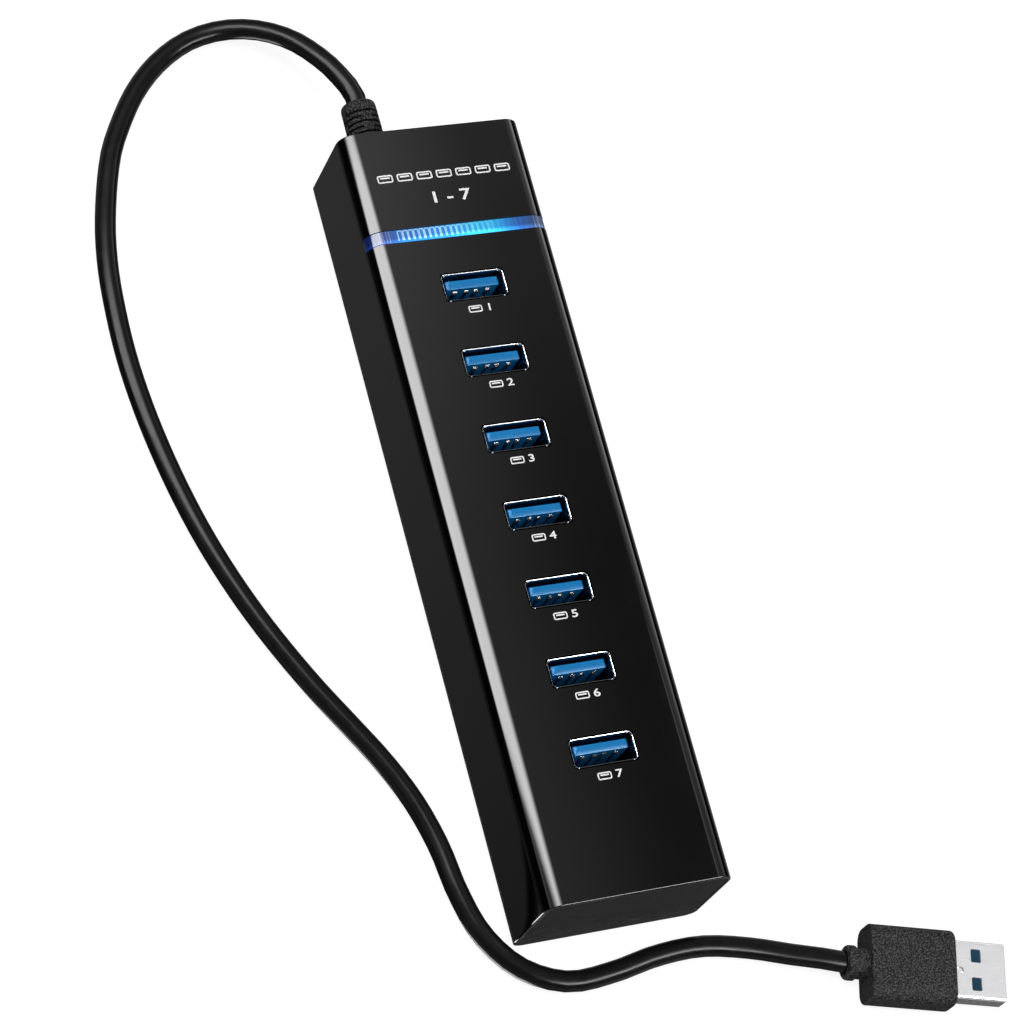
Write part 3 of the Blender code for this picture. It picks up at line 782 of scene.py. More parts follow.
def make_top_cover(material):
    """The glossy channel: the top with its windows, and both long sides."""
    section = arch(0, COVER_LOW) + arch(WALL, COVER_LOW)[::-1]
    cover = prism("cover_top", section, 2 * HALF_LENGTH, material, along_y(HALF_LENGTH))
    bevel(cover, RIM_BEVEL, 3, 60)
    seat = arch(LIP, COVER_LOW - WALL)
    for start in (HALF_LENGTH + WALL, COVER_LIP_DEPTH - HALF_LENGTH):
        cut(cover, prism("seat", seat, COVER_LIP_DEPTH + WALL, None, along_y(start)))
    cut_windows(cover)
    clear = EDGE * 2 / 3
    slot_low = (-2 * HALF_WIDTH, BAR_Y - BAR_WIDTH / 2 - clear, BAR_LOW - clear)
    slot_high = (2 * HALF_WIDTH, BAR_Y + BAR_WIDTH / 2 + clear, HUB_TOP + WALL)
    cut(cover, box("bar_slot", slot_low, slot_high))
    for x, y in screw_places():
        join(cover, pillar(POST_RADIUS, COVER_LOW + 2 * GAP, HUB_TOP - WALL / 2, x, y))
        cut(cover, pillar(SCREW_SHANK_RADIUS + GAP / 2, 0.0, HUB_TOP / 2, x, y))
    settle(cover, ["top_cover"])


def cut_screw_hole(tray, x, y):
    """A boss, the shank's hole through it, and a counterbore with a chamfered mouth."""
    join(tray, pillar(SCREW_HEAD_RADIUS + WALL / 2, FLOOR / 2, BOTTOM_RADIUS + GAP, x, y))
    cut(tray, pillar(SCREW_SHANK_RADIUS + GAP, -WALL, RIM_TOP, x, y))
    radius = SCREW_HEAD_RADIUS + GAP
    profile = ((radius + 2 * EDGE, -EDGE), (radius, EDGE), (radius, COUNTERBORE_TOP))
    cut(tray, turned("counterbore", profile, None, shift(x, y, 0), 48))


def make_bottom_cover(material):
    """The underside: a tray with rounded long edges, an inner rim, end flanges, and screw holes."""
    corner_x = HALF_WIDTH - BOTTOM_RADIUS
    section = arc(-corner_x, BOTTOM_RADIUS, BOTTOM_RADIUS, 180, 270)
    section += arc(corner_x, BOTTOM_RADIUS, BOTTOM_RADIUS, 270, 360)
    tray = prism("cover_bottom", section, 2 * HALF_LENGTH, material, along_y(HALF_LENGTH))
    bevel(tray, EDGE, 2, 60)
    rim_x = HALF_WIDTH - WALL - GAP
    rim_y = RIM_HALF_LENGTH
    join(tray, box("rim", (-rim_x, -rim_y, FLOOR), (rim_x, rim_y, RIM_TOP)))
    inner_x = rim_x - RIM_WALL
    inner_y = rim_y - RIM_WALL
    cut(tray, box("hollow", (-inner_x, -inner_y, FLOOR), (inner_x, inner_y, 2 * RIM_TOP)))
    flange_x = HALF_WIDTH - LIP - SEAM
    inner = HALF_LENGTH - CAP_DEPTH
    for start, stop in ((inner, HALF_LENGTH), (-HALF_LENGTH, -inner)):
        flange = box("flange", (-flange_x, start, FLOOR), (flange_x, stop, FLANGE_TOP))
        bevel(flange, EDGE / 2, 2)
        join(tray, flange)
    for x, y in screw_places():
        cut_screw_hole(tray, x, y)
    settle(tray, ["bottom_cover"])


def make_end_cap(name, node, end, material):
    """The plate that closes the head (end 1) or the foot (end -1), with its locating step."""
    plate = arch(LIP + SEAM, CAP_LOW)
    step = arch(WALL + GAP, CAP_LOW + 3 * SEAM)
    inner = HALF_LENGTH - CAP_DEPTH
    plate_start = HALF_LENGTH if end > 0 else -inner
    step_start = inner + GAP if end > 0 else CAP_STEP_DEPTH - inner
    cap = prism(name, plate, CAP_DEPTH, material, along_y(plate_start))
    bevel(cap, EDGE, 3, 60)
    join(cap, prism("step", step, CAP_STEP_DEPTH + GAP, None, along_y(step_start)))
    if end > 0:
        hole = circle(RELIEF_NECK_RADIUS + SEAM, 48, (LEAD_X, LEAD_Z))
        length = CAP_DEPTH + CAP_STEP_DEPTH + 4 * WALL
        cut(cap, prism("lead_hole", hole, length, None, along_y(HALF_LENGTH + WALL)))
    settle(cap, [node])


# ---- light bar ----

BAR_Y = 0.0585
BAR_WIDTH = 0.0027
BAR_LOW = 0.0221
BAR_RECESS = 0.00008
BAR_WEB_X = 0.0150
BAR_WEB_HALF = 0.0006
RIB_COUNT = 18
RIB_PITCH = 0.00115
RIB_HALF = RIB_PITCH * 0.39
RIB_CORNER = RIB_HALF * 0.6
RIB_FIRST_X = -0.0126
RIB_FOOT = BAR_Y - BAR_WIDTH * 0.36
RIB_HEAD = BAR_Y + BAR_WIDTH * 0.40
RIB_LINE = 0.00020
RIDGES_LEFT = (-0.0179, -0.0174, -0.0170, -0.0162, -0.0155, -0.0149)
RIDGES_RIGHT = (0.0163, 0.0172, 0.0177, 0.0181)


def make_rib(x, material):
    """An upside-down U, raised on the bar and closed towards the head."""
    corner_x = RIB_HALF - RIB_CORNER
    corner_y = RIB_HEAD - RIB_CORNER
    path = [(x - RIB_HALF, RIB_FOOT)]
    path += arc(x - corner_x, corner_y, RIB_CORNER, 180, 90, 5)
    path += arc(x + corner_x, corner_y, RIB_CORNER, 90, 0, 5)
    path += [(x + RIB_HALF, RIB_FOOT)]
    base = shift(0, 0, HUB_TOP - 2 * BAR_RECESS)
    return prism("rib", ribbon(path, RIB_LINE), 2 * BAR_RECESS, material, base)


def make_ridge(x, material):
    """A fine line across the bar, on the flat or on the rounded end."""
    centre = math.copysign(HALF_WIDTH - TOP_RADIUS, x)
    rise = math.asin(max(0.0, abs(x) - abs(centre)) / TOP_RADIUS)
    turn = 90 - math.degrees(math.copysign(rise, x))
    half_turn = math.degrees(RIB_LINE / 3 / TOP_RADIUS)
    if rise == 0.0:
        centre = x
    centre_z = HUB_TOP - TOP_RADIUS
    low = arc(centre, centre_z, TOP_RADIUS - 2 * BAR_RECESS, turn - half_turn, turn + half_turn, 1)
    high = arc(centre, centre_z, TOP_RADIUS, turn + half_turn, turn - half_turn, 1)
    length = BAR_WIDTH - EDGE
    return prism("ridge", low + high, length, material, along_y(BAR_Y + length / 2))


def make_light_bar(clear, bright):
    """The clear bar, wrapped over both edges, with the web below it and its moulded lines on top."""
    section = arch(BAR_RECESS, BAR_LOW) + arch(WALL, BAR_LOW)[::-1]
    bar = prism("bar_clear", section, BAR_WIDTH, clear, along_y(BAR_Y + BAR_WIDTH / 2))
    bevel(bar, EDGE / 2, 2, 60)
    web_low = (-BAR_WEB_X, BAR_Y - BAR_WEB_HALF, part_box("light_bar")[0].z)
    web_high = (BAR_WEB_X, BAR_Y + BAR_WEB_HALF, HUB_TOP - WALL / 2)
    join(bar, box("web", web_low, web_high))
    settle(bar, ["light_bar"])
    lines = [make_rib(RIB_FIRST_X + number * RIB_PITCH, bright) for number in range(RIB_COUNT)]
    lines += [make_ridge(x, bright) for x in RIDGES_LEFT + RIDGES_RIGHT]
    settle(merged("bar_lines", lines))


# ---- sockets ----

SHELL_LIP = 0.00006
SHELL_LIP_DROP = 0.000033
NOTCH = 0.00018
NOTCH_DEPTH = 0.00045
SPRING_WIDTH = 0.0018
SPRING_SLACK = 0.00014
SPRING_THICKNESS = 0.0002
SPRING_X = 0.0032
SPRING_ROOT = 0.0176
SPRING_FOOT = 0.0180
SPRING_TIP = 0.0238
SPRING_BOW = (  # how far the spring is bowed at each share of its opening's height
    (0.10, 0.0),
    (0.30, 0.00012),
    (0.55, 0.00034),
    (0.70, 0.00042),
    (0.84, 0.00034),
    (0.95, 0.00008),
)
TONGUE_CORNER = 0.00012
TIP_CORNER = 0.00008
TIP_SIDE = 0.0006
TIP_FRONT = 0.0007
TIP_BACK = 0.0002
TIP_DROP = 0.00045
GROOVE_HALF = 0.00045
GROOVE_DEPTH = 0.0004
GROOVE_TOP = 0.0016
PIN_STRIP = 0.00084
PIN_THICKNESS = 0.00014


def make_spring(matrix, material):
    """A finger of a wall whose outer face is at Y = 0, bowed towards -Y, which is inside."""
    rise = SPRING_TIP - SPRING_FOOT
    middle = -SHELL_WALL / 2
    path = [(middle, SPRING_ROOT)]
    path += [(middle - depth, SPRING_FOOT + rise * share) for share, depth in SPRING_BOW]
    outline = ribbon(path, SPRING_THICKNESS)
    return prism("spring", outline, SPRING_WIDTH, material, matrix @ across_x(-SPRING_WIDTH / 2))


def cut_notches(shell):
    """Two slits at each corner of the mouth, one through either wall where its rounding starts."""
    places = (
        (PORT_WIDTH / 2 - SHELL_RADIUS, PORT_DEPTH / 2, NOTCH / 2, 2 * SHELL_WALL),
        (PORT_WIDTH / 2, PORT_DEPTH / 2 - SHELL_RADIUS, 2 * SHELL_WALL, NOTCH / 2),
    )
    for sign_x in (-1, 1):
        for sign_y in (-1, 1):
            for x, y, reach_x, reach_y in places:
                low = (sign_x * x - reach_x, sign_y * y - reach_y, SHELL_HIGH.z - NOTCH_DEPTH)
                high = (sign_x * x + reach_x, sign_y * y + reach_y, SHELL_HIGH.z + NOTCH_DEPTH)
                cut(shell, box("notch", low, high))


def add_springs(shell, material):
    """Two fingers in each long wall and one in each short wall, each in its own opening."""
    walls = [shift(x, PORT_DEPTH / 2, 0) for x in (-SPRING_X, SPRING_X)]
    walls += [spin(180) @ wall for wall in walls]
    walls += [spin(turn) @ shift(0, PORT_WIDTH / 2, 0) for turn in (90, -90)]
    half = SPRING_WIDTH / 2 + SPRING_SLACK
    low = (-half, -2 * SHELL_WALL, SPRING_FOOT)
    high = (half, SHELL_WALL, SPRING_TIP + SPRING_SLACK)
    for wall in walls:
        cut(shell, box("opening", low, high, None, wall))
        join(shell, make_spring(wall, material))


def make_port_shell(material):
    """A socket's shell about X = Y = 0, with a flared mouth, notched corners and six springs."""
    foot = SHELL_LOW.z
    mouth = SHELL_HIGH.z
    wall = (
        (0.0, foot),
        (0.0, mouth),
        (SHELL_LIP, mouth - SHELL_LIP_DROP),
        (SHELL_WALL, mouth - 3 * SHELL_WALL),
        (SHELL_WALL, foot),
    )
    shell = stepped("shell", (PORT_WIDTH, PORT_DEPTH), SHELL_RADIUS, 6, wall, material, closed=True)
    cut_notches(shell)
    add_springs(shell, material)
    return shell


def make_tongue(low, high, material):
    """The blue contact tongue, with a chamfered tip and a groove for each contact on its -Y face."""
    width = high.x - low.x
    depth = high.y - low.y
    body = rounded_rectangle(width, depth, TONGUE_CORNER, 3)
    tip = rounded_rectangle(width - 2 * TIP_SIDE, depth - TIP_FRONT - TIP_BACK, TIP_CORNER, 3)
    tip = [(x, y + (TIP_FRONT - TIP_BACK) / 2) for x, y in tip]
    rings = [level(body, low.z), level(body, high.z - TIP_DROP), level(tip, high.z)]
    tongue = skin("tongue", rings, material, shift(0, (low.y + high.y) / 2, 0))
    for x in PIN_X:
        groove_low = (x - GROOVE_HALF, low.y - GROOVE_DEPTH, low.z - GROOVE_DEPTH)
        groove_high = (x + GROOVE_HALF, low.y + GROOVE_DEPTH, high.z - GROOVE_TOP)
        cut(tongue, box("groove", groove_low, groove_high))
    return tongue


def make_pins(low, high, material):
    """The four sprung contacts in the tongue's grooves, each with a crown near its tip."""
    face = low.y
    top = high.z - GROOVE_TOP
    path = [
        (face + 0.00034, low.z + 0.0002),
        (face + 0.00034, top - 0.0019),
        (face + 0.00006, top - 0.0015),
        (face - 0.00028, top - 0.0011),
        (face - 0.00036, top - 0.0008),
        (face - 0.00033, top - 0.00056),
        (face - 0.00022, top - 0.00042),
        (face + 0.00020, top - 0.00010),
    ]
    outline = ribbon(path, PIN_THICKNESS)
    return [prism("pin", outline, PIN_STRIP, material, across_x(x - PIN_STRIP / 2)) for x in PIN_X]


def make_ports(metal, blue, gold):
    """Seven sockets, copied from a shell about Y = 0, and from a tongue and pins in socket 1."""
    shell = make_port_shell(metal)
    low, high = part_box("port_tongue_1")
    tongue = make_tongue(low, high, blue)
    pins = merged("pins", make_pins(low, high, gold))
    first_y = (SHELL_LOW.y + SHELL_HIGH.y) / 2
    for number, y in port_centres():
        settle(copied(shell, f"socket_shell_{number}", (0, y, 0)), [f"port_shell_{number}"])
        offset = (0, y - first_y, 0)
        settle(copied(tongue, f"socket_tongue_{number}", offset), [f"port_tongue_{number}"])
        settle(copied(pins, f"socket_pins_{number}", offset))
    for pattern in (shell, tongue, pins):
        bpy.data.objects.remove(pattern)


# ---- printing ----

MARK_DROP = 0.0052  # from a socket's middle to its mark
MARK_ICON_X = -0.0012
MARK_NUMERAL_X = 0.0018
NUMERAL_SIZE = 0.0022
NUMERAL_STRETCH = 1.35
NUMERAL_WEIGHT = 0.016
ICON_WIDTH = 0.0029
ICON_HEIGHT = 0.0015
ICON_LINE = 0.00026
ICON_CORNER = 1.5  # in widths of its line
ICON_TONGUE_SIDE = 2.2
ICON_TONGUE_REACH = (0.02, 0.22)  # in heights of the icon, from its middle
HEADING_Y = 0.0712
HEADING_PITCH = 0.0042
HEADING_SCALE = 1.15
RANGE_Y = 0.0660
RANGE_SIZE = 0.0035


def make_numeral(text, x, y, size, material):
    curve = bpy.data.curves.new("numeral", "FONT")
    curve.body = text
    curve.align_x = "CENTER"
    curve.align_y = "CENTER"
    curve.extrude = 1.0
    curve.offset = NUMERAL_WEIGHT
    holder = bpy.data.objects.new("numeral", curve)
    link(holder)
    graph = bpy.context.evaluated_depsgraph_get()
    bm = bmesh.new()
    bm.from_mesh(bpy.data.meshes.new_from_object(holder.evaluated_get(graph)))
    bpy.data.objects.remove(holder)
    bmesh.ops.remove_doubles(bm, verts=bm.verts, dist=1e-5)
    scale = Matrix.Diagonal((size * NUMERAL_STRETCH, size, INK, 1.0))
    return new_object("numeral", bm, material, shift(x, y, HUB_TOP) @ scale)


def make_icon(x, y, material, scale=1.0):
    """A socket seen from the front: its outline, and the tongue in its upper half."""
    width = ICON_WIDTH * scale
    height = ICON_HEIGHT * scale
    line = ICON_LINE * scale
    section = ((0.0, -INK), (0.0, INK), (line, INK), (line, -INK))
    place = shift(x, y, HUB_TOP)
    corner = ICON_CORNER * line
    outline = stepped("icon", (width, height), corner, 4, section, material, place, closed=True)
    half = width / 2 - ICON_TONGUE_SIDE * line
    low, high = (height * share for share in ICON_TONGUE_REACH)
    return [outline, box("icon_tongue", (-half, low, -INK), (half, high, INK), material, place)]


def make_marks(material):
    """A mark at each socket, and over them all a heading of seven icons with the range of numbers."""
    for number, y in port_centres():
        pieces = make_icon(MARK_ICON_X, y - MARK_DROP, material)
        pieces.append(make_numeral(str(number), MARK_NUMERAL_X, y - MARK_DROP, NUMERAL_SIZE, material))
        settle(merged(f"mark_{number}", pieces))
    pieces = []
    for number in range(PORT_COUNT):
        x = (number - (PORT_COUNT - 1) / 2) * HEADING_PITCH
        pieces += make_icon(x, HEADING_Y, material, HEADING_SCALE)
    pieces.append(make_numeral(f"1 - {PORT_COUNT}", 0.0, RANGE_Y, RANGE_SIZE, material))
    settle(merged("mark_heading", pieces))


# ---- screws ----

CROSS_ARM = SCREW_HEAD_RADIUS * 0.62
CROSS_HALF = SCREW_HEAD_RADIUS * 0.13
CROSS_DEPTH = 0.0008
CROSS_TAPER = (0.45, 0.7)
CROSS_TURN = 20


def make_screws(material):
    """Four pan heads, seen from below, with crosses."""
    low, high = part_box("cover_screw_1")
    dome = ((1.0, 0.0004), (0.96, 0.0002), (0.85, 0.00006), (0.70, 0.0))
    profile = [
        (SCREW_SHANK_RADIUS * 0.4, high.z),
        (SCREW_SHANK_RADIUS, high.z - SCREW_SHANK_RADIUS),
        (SCREW_SHANK_RADIUS, SCREW_HEAD_HIGH),
        (SCREW_HEAD_RADIUS, SCREW_HEAD_HIGH),
    ]
    profile += [(SCREW_HEAD_RADIUS * share, low.z + height) for share, height in dome]
    screw = turned("screw", profile, material, Matrix())
    outline = rectangle((-CROSS_ARM, -CROSS_HALF), (CROSS_ARM, CROSS_HALF))
    narrow = [(x * CROSS_TAPER[0], y * CROSS_TAPER[1]) for x, y in outline]
    rings = [level(outline, low.z - EDGE), level(outline, low.z + EDGE), level(narrow, low.z + CROSS_DEPTH)]
    for turn in (0, 90):
        cut(screw, skin("cross", rings, None, spin(turn + CROSS_TURN)))
    for number, (x, y) in enumerate(screw_places(), start=1):
        made = copied(screw, f"screw_{number}", (x, y, 0))
        settle(made, [f"cover_screw_{number}"], 25)
    bpy.data.objects.remove(screw)


# ---- lead, strain relief and plug ----


def slot_tool(y, start, sweep, steps=32):
    """A square section swept round the lead's axis, from the angle start above +X."""
    half = SLOT_WIDTH / 2
    section = rectangle((RELIEF_RADIUS - SLOT_DEPTH, y - half), (RELIEF_RADIUS + SLOT_DEPTH, y + half))
    rings = []
    for step in range(steps + 1):
        angle = start + sweep * step / steps
        rings.append([(radius * math.cos(angle), at, radius * math.sin(angle)) for radius, at in section])
    return skin("slot", rings, None, shift(LEAD_X, 0, LEAD_Z))


def make_strain_relief(material):
    """The boot: a flange inside the head cap, a neck through it, and a body with staggered slots."""
    low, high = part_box("strain_relief")
    tip = high.y
    outside = HALF_LENGTH + GAP
    flange_outer = HALF_LENGTH - CAP_DEPTH - CAP_STEP_DEPTH - GAP
    mouth = LEAD_DIAMETER / 2 + EDGE
    crown = ((0.80, 0.0), (0.89, 0.00010), (0.94, 0.00032), (0.965, 0.00065), (0.975, 0.0012))
    profile = [(mouth, tip - RELIEF_MOUTH_DEPTH), (mouth, tip - SEAM), (mouth + SEAM, tip)]
    profile += [(RELIEF_RADIUS * share, tip - drop) for share, drop in crown]
    profile += [
        (RELIEF_RADIUS, outside + RELIEF_STRAIGHT),
        (RELIEF_RADIUS, outside),
        (RELIEF_NECK_RADIUS, outside),
        (RELIEF_NECK_RADIUS, flange_outer),
        (RELIEF_FLANGE_RADIUS, flange_outer),
        (RELIEF_FLANGE_RADIUS, low.y),
    ]
    relief = turned("relief_boot", profile, material, shift(LEAD_X, 0, LEAD_Z) @ spin(-90, "X"), 72)
    for slot in range(SLOT_COUNT):
        y = tip - SLOT_FIRST - slot * SLOT_PITCH
        bridge = math.pi / 2 * (slot % 2) + SLOT_BRIDGE / 2
        for turn in (0, math.pi):
            cut(relief, slot_tool(y, bridge + turn, math.pi - SLOT_BRIDGE))
    return settle(relief, ["strain_relief"])


def plug_place():
    return Matrix.Translation(PLUG_AT) @ spin(PLUG_YAW)


def along_plug():
    """Turns rings at heights so that they are across the plug and the heights run towards its tip."""
    return plug_place() @ across_x(0)


def make_lead(material):
    """The free lead, from inside the boot's mouth to inside the plug's collar."""
    points = [Vector(p) for p in LEAD_ROUTE]
    start = points[0] - Vector((0, LEAD_IN_BOOT, 0))
    stop = plug_place() @ Vector((-GRIP_LENGTH - PLUG_NECK_LENGTH - LEAD_CLEAR_OF_NECK, 0, 0))
    route = smooth_route([start] + points + [stop], LEAD_SPACING)
    curve = bpy.data.curves.new("lead_jacket", "CURVE")
    curve.dimensions = "3D"
    curve.bevel_depth = LEAD_DIAMETER / 2
    curve.bevel_resolution = 8
    curve.use_fill_caps = True
    curve.materials.append(material)
    spline = curve.splines.new("POLY")
    spline.points.add(len(route) - 1)
    for point, place in zip(spline.points, route):
        point.co = (*place, 1.0)
    spline.use_smooth = True
    lead = bpy.data.objects.new("lead_jacket", curve)
    link(lead)
    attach(lead, "root")
    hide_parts("lead_cable")
    return lead


def fillet(radius, steps=6):
    """How far back from an end, and how far in from the side, each ring of a rounded end is."""
    angles = [math.radians(90 * i / steps) for i in range(steps + 1)]
    return [(radius * (1 - math.sin(a)), radius * (1 - math.cos(a))) for a in angles]


def make_grip_body(material):
    """The grip itself, rounded at both ends and more so towards the shell."""
    profile = [(inset, -GRIP_LENGTH + back) for back, inset in fillet(GRIP_REAR_ROUNDING)[::-1]]
    profile += [(inset, -back) for back, inset in fillet(GRIP_FRONT_ROUNDING)]
    size = (GRIP_WIDTH, GRIP_THICKNESS)
    return stepped("plug_body", size, GRIP_RADIUS, 12, profile, material, along_plug())


def make_collar(material):
    """The neck behind the grip, and the collar round the lead."""
    neck_end = -GRIP_LENGTH - PLUG_NECK_LENGTH
    collar_end = neck_end - PLUG_COLLAR_LENGTH
    mouth = LEAD_DIAMETER / 2 + SEAM / 2
    rear, front = PLUG_COLLAR_ROUNDINGS
    profile = [(mouth, neck_end - PLUG_COLLAR_FLOOR)]
    profile += [(mouth, collar_end + SEAM), (mouth + SEAM, collar_end)]
    profile += [(PLUG_COLLAR_RADIUS - inset, collar_end + back) for back, inset in fillet(rear)[::-1]]
    profile += [(PLUG_COLLAR_RADIUS - inset, neck_end - back) for back, inset in fillet(front)]
    profile += [(PLUG_NECK_RADIUS, neck_end), (PLUG_NECK_RADIUS, -GRIP_LENGTH + GAP)]
    return turned("collar", profile, material, along_plug())


def make_plug_grip(material):
    """The moulded grip with its neck and collar, and the pocket that the shell comes out of."""
    grip = make_grip_body(material)
    join(grip, make_collar(material))
    size = (PLUG_SHELL_WIDTH + GAP, PLUG_SHELL_THICKNESS + GAP)
    profile = ((0.0, -PLUG_POCKET_DEPTH), (0.0, PLUG_POCKET_DEPTH))
    cut(grip, stepped("pocket", size, PLUG_CORNER, 6, profile, None, along_plug()))
    return settle(grip, ["plug_grip"], 30)


def plug_window(side, face):
    """A cutter through the upper (1) or the lower (-1) wall, flared at its outer face."""
    flat = PLUG_SHELL_THICKNESS / 2 - EDGE
    profile = ((0.0, flat - 2 * SHELL_WALL), (0.0, flat), (-EDGE, flat + 2 * EDGE))
    place = plug_place() @ shift(PLUG_WINDOW_X, side, 0) @ spin(0 if face > 0 else 180, "X")
    return stepped("window", PLUG_WINDOW, PLUG_WINDOW_RADIUS, 4, profile, None, place)


def plug_dimple():
    """A cutter for the shallow round dimple pressed into the upper wall."""
    top = PLUG_SHELL_THICKNESS / 2
    profile = ((DIMPLE_FLOOR_RADIUS, top - DIMPLE_DEPTH), (DIMPLE_RADIUS, top + SEAM / 2))
    return turned("dimple", profile, None, plug_place() @ shift(*DIMPLE_AT, 0), 32)


def make_plug_shell(material):
    """The plug's metal shell: folded corners, four windows, a pressed dimple and the joint underneath."""
    tip = PLUG_SHELL_LENGTH
    size = (PLUG_SHELL_WIDTH, PLUG_SHELL_THICKNESS)
    wall = (
        (0.0, -PLUG_SHELL_ROOT),
        (0.0, tip - SHELL_WALL / 2),
        (SHELL_WALL / 2, tip),
        (SHELL_WALL, tip - SHELL_WALL / 3),
        (SHELL_WALL, -PLUG_SHELL_ROOT),
    )
    shell = stepped("plug_sleeve", size, PLUG_CORNER, 6, wall, material, along_plug(), closed=True)
    for side in (-PLUG_WINDOW_Y, PLUG_WINDOW_Y):
        for face in (-1, 1):
            cut(shell, plug_window(side, face))
    cut(shell, plug_dimple())
    half = SEAM / 4
    floor = -PLUG_SHELL_THICKNESS / 2
    joint_low = (-2 * PLUG_SHELL_ROOT, -half, floor - half)
    joint_high = (2 * PLUG_SHELL_LENGTH, half, floor + SHELL_WALL / 2)
    cut(shell, box("joint", joint_low, joint_high, None, plug_place()))
    return settle(shell, ["plug_shell"])


def make_plug_block(blue, gold):
    """The block in the shell's upper half, with flat contacts and sprung ones that face down."""
    top = PLUG_SHELL_THICKNESS / 2 - SHELL_WALL - GAP / 2
    low = top - PLUG_BLOCK_THICKNESS
    tip = PLUG_SHELL_LENGTH - PLUG_BLOCK_BACK
    half = PLUG_BLOCK_WIDTH / 2
    # The blue handed in here is the darker copy: painted shade for the shell's shadow over the block.
    block = box("plug_insert", (-PLUG_SHELL_ROOT, -half, low), (tip, half, top), blue, plug_place())
    bevel(block, EDGE, 2)

    def contact(y, half, start, stop, proud):
        return box("contact", (start, y - half, low - proud), (stop, y + half, low + CONTACT_SUNK), gold)

    pins = [contact(y, FLAT_HALF, FLAT_START, tip - FLAT_BACK, FLAT_PROUD) for y in PIN_X]
    pins += [contact(y, SPRUNG_HALF, SPRUNG_START, SPRUNG_STOP, SPRUNG_PROUD) for y in SPRUNG_Y]
    contacts = merged("plug_contacts", pins)
    contacts.data.transform(plug_place())
    bevel(contacts, CONTACT_BEVEL, 1)
    return [settle(block, ["plug_block"]), settle(contacts)]


# ---- inside ----


def finish_inside(jacket):
    """Finishes for the CAD nodes that keep their shape, by the node's name without its number."""
    chip = chip_black()
    can = tin()
    finishes = {
        "circuit_board": board_green(),
        "lead_header": header_white(),
        "power_inductor": ferrite(),
        "lead_tail": jacket,
        "hub_controller": chip,
        "voltage_regulator": chip,
        "port_block": chip,
        "crystal": can,
        "capacitor": can,
        "led": led_white(),
    }
    for name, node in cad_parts.items():
        material = finishes.get(name.rstrip("_0123456789"))
        if material:
            node.data.materials.clear()
            node.data.materials.append(material)


# ---- stage ----

OVERHEAD_HEIGHT = 0.60
OVERHEAD_LEFT = -2.3
OVERHEAD_RIGHT = 0.60
OVERHEAD_LEAN = 0.255  # how far the bright part's edge leans towards +X for each metre of Y
BAND_Y = 0.14  # the bright part's middle line where X is 0
BAND_SLOPE = 0.28  # and how fast that line moves towards +Y as X falls
WHITE = (1.0, 1.0, 1.0, 1.0)
FLOOR_HALF = 6.0
FLOOR_LOW = -0.01
FLOOR_TOP = -0.00002


def make_camera():
    camera = bpy.data.objects.new("camera", bpy.data.cameras.new("camera"))
    camera.data.lens = CAMERA_LENS
    camera.data.clip_start = 0.01
    look = (CAMERA_AIM - CAMERA_AT).to_track_quat("-Z", "Y")
    roll = Quaternion((0, 0, 1), CAMERA_ROLL)
    camera.matrix_world = Matrix.Translation(CAMERA_AT) @ (look @ roll).to_matrix().to_4x4()
    link(camera)
    bpy.context.scene.camera = camera


def hide(piece, *rays):
    """Keeps the piece out of sight of these kinds of rays."""
    for ray in rays:
        setattr(piece, f"visible_{ray}", False)


class Card(Shading):
    """A glowing panel that only reflections see, whose glow is a function of the world's coordinates."""

    def __init__(self, name, centre, size, aim):
        bm = bmesh.new()
        corners = rectangle((-size[0] / 2, -size[1] / 2), (size[0] / 2, size[1] / 2))
        bm.faces.new([bm.verts.new(corner) for corner in level(corners, 0.0)])
        panel = new_object(name, bm)
        turn = (Vector(aim) - Vector(centre)).to_track_quat("-Z", "Y").to_matrix().to_4x4()
        panel.matrix_world = Matrix.Translation(centre) @ turn
        hide(panel, "camera", "diffuse", "shadow")
        panel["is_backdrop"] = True
        material = bpy.data.materials.new(name)
        material.use_nodes = True
        material.node_tree.nodes.clear()
        panel.data.materials.append(material)
        super().__init__(material.node_tree, "ShaderNodeNewGeometry", "Position")
        self.emission = self.add("ShaderNodeEmission")
        self.add("ShaderNodeOutputMaterial", {"Surface": self.emission.outputs["Emission"]})

    def glow(self, strength):
        self.feed(self.emission, "Strength", strength)


def make_overhead_card():
    """Over the left side: a bright band, a dim step, a patch over the plug, and a tail on the right."""
    middle = (OVERHEAD_LEFT + OVERHEAD_RIGHT) / 2
    centre = Vector((middle, 0.25, OVERHEAD_HEIGHT))
    card = Card("card_overhead", centre, (OVERHEAD_RIGHT - OVERHEAD_LEFT, 1.3), centre - Vector((0, 0, 1)))
    x = card.axis("X")
    y = card.axis("Y")
    across = card.total(x, card.product(y, -OVERHEAD_LEAN))
    off_line = card.maths("ABSOLUTE", card.total(y, -BAND_Y, card.product(x, BAND_SLOPE)))
    bright = card.product(
        card.smooth(across, 0.02, -0.28, 0.0, 13.5),
        card.smooth(x, -2.2, -1.2),
        card.smooth(off_line, 0.22, 0.13),
    )
    step = card.product(card.smooth(y, 0.16, 0.37, 0.32, 0.58), card.smooth(x, 0.258, 0.200))
    tail = card.total(card.smooth(y, 0.17, 0.38, 0.13, 0.40), card.smooth(x, 0.30, 0.60, 0.0, 0.45))
    patch = card.product(
        card.smooth(x, 0.265, 0.310, 0.0, 0.86),
        card.smooth(x, 0.46, 0.38),
        card.smooth(y, 0.19, 0.14),
    )
    card.glow(card.total(bright, patch, step, tail))


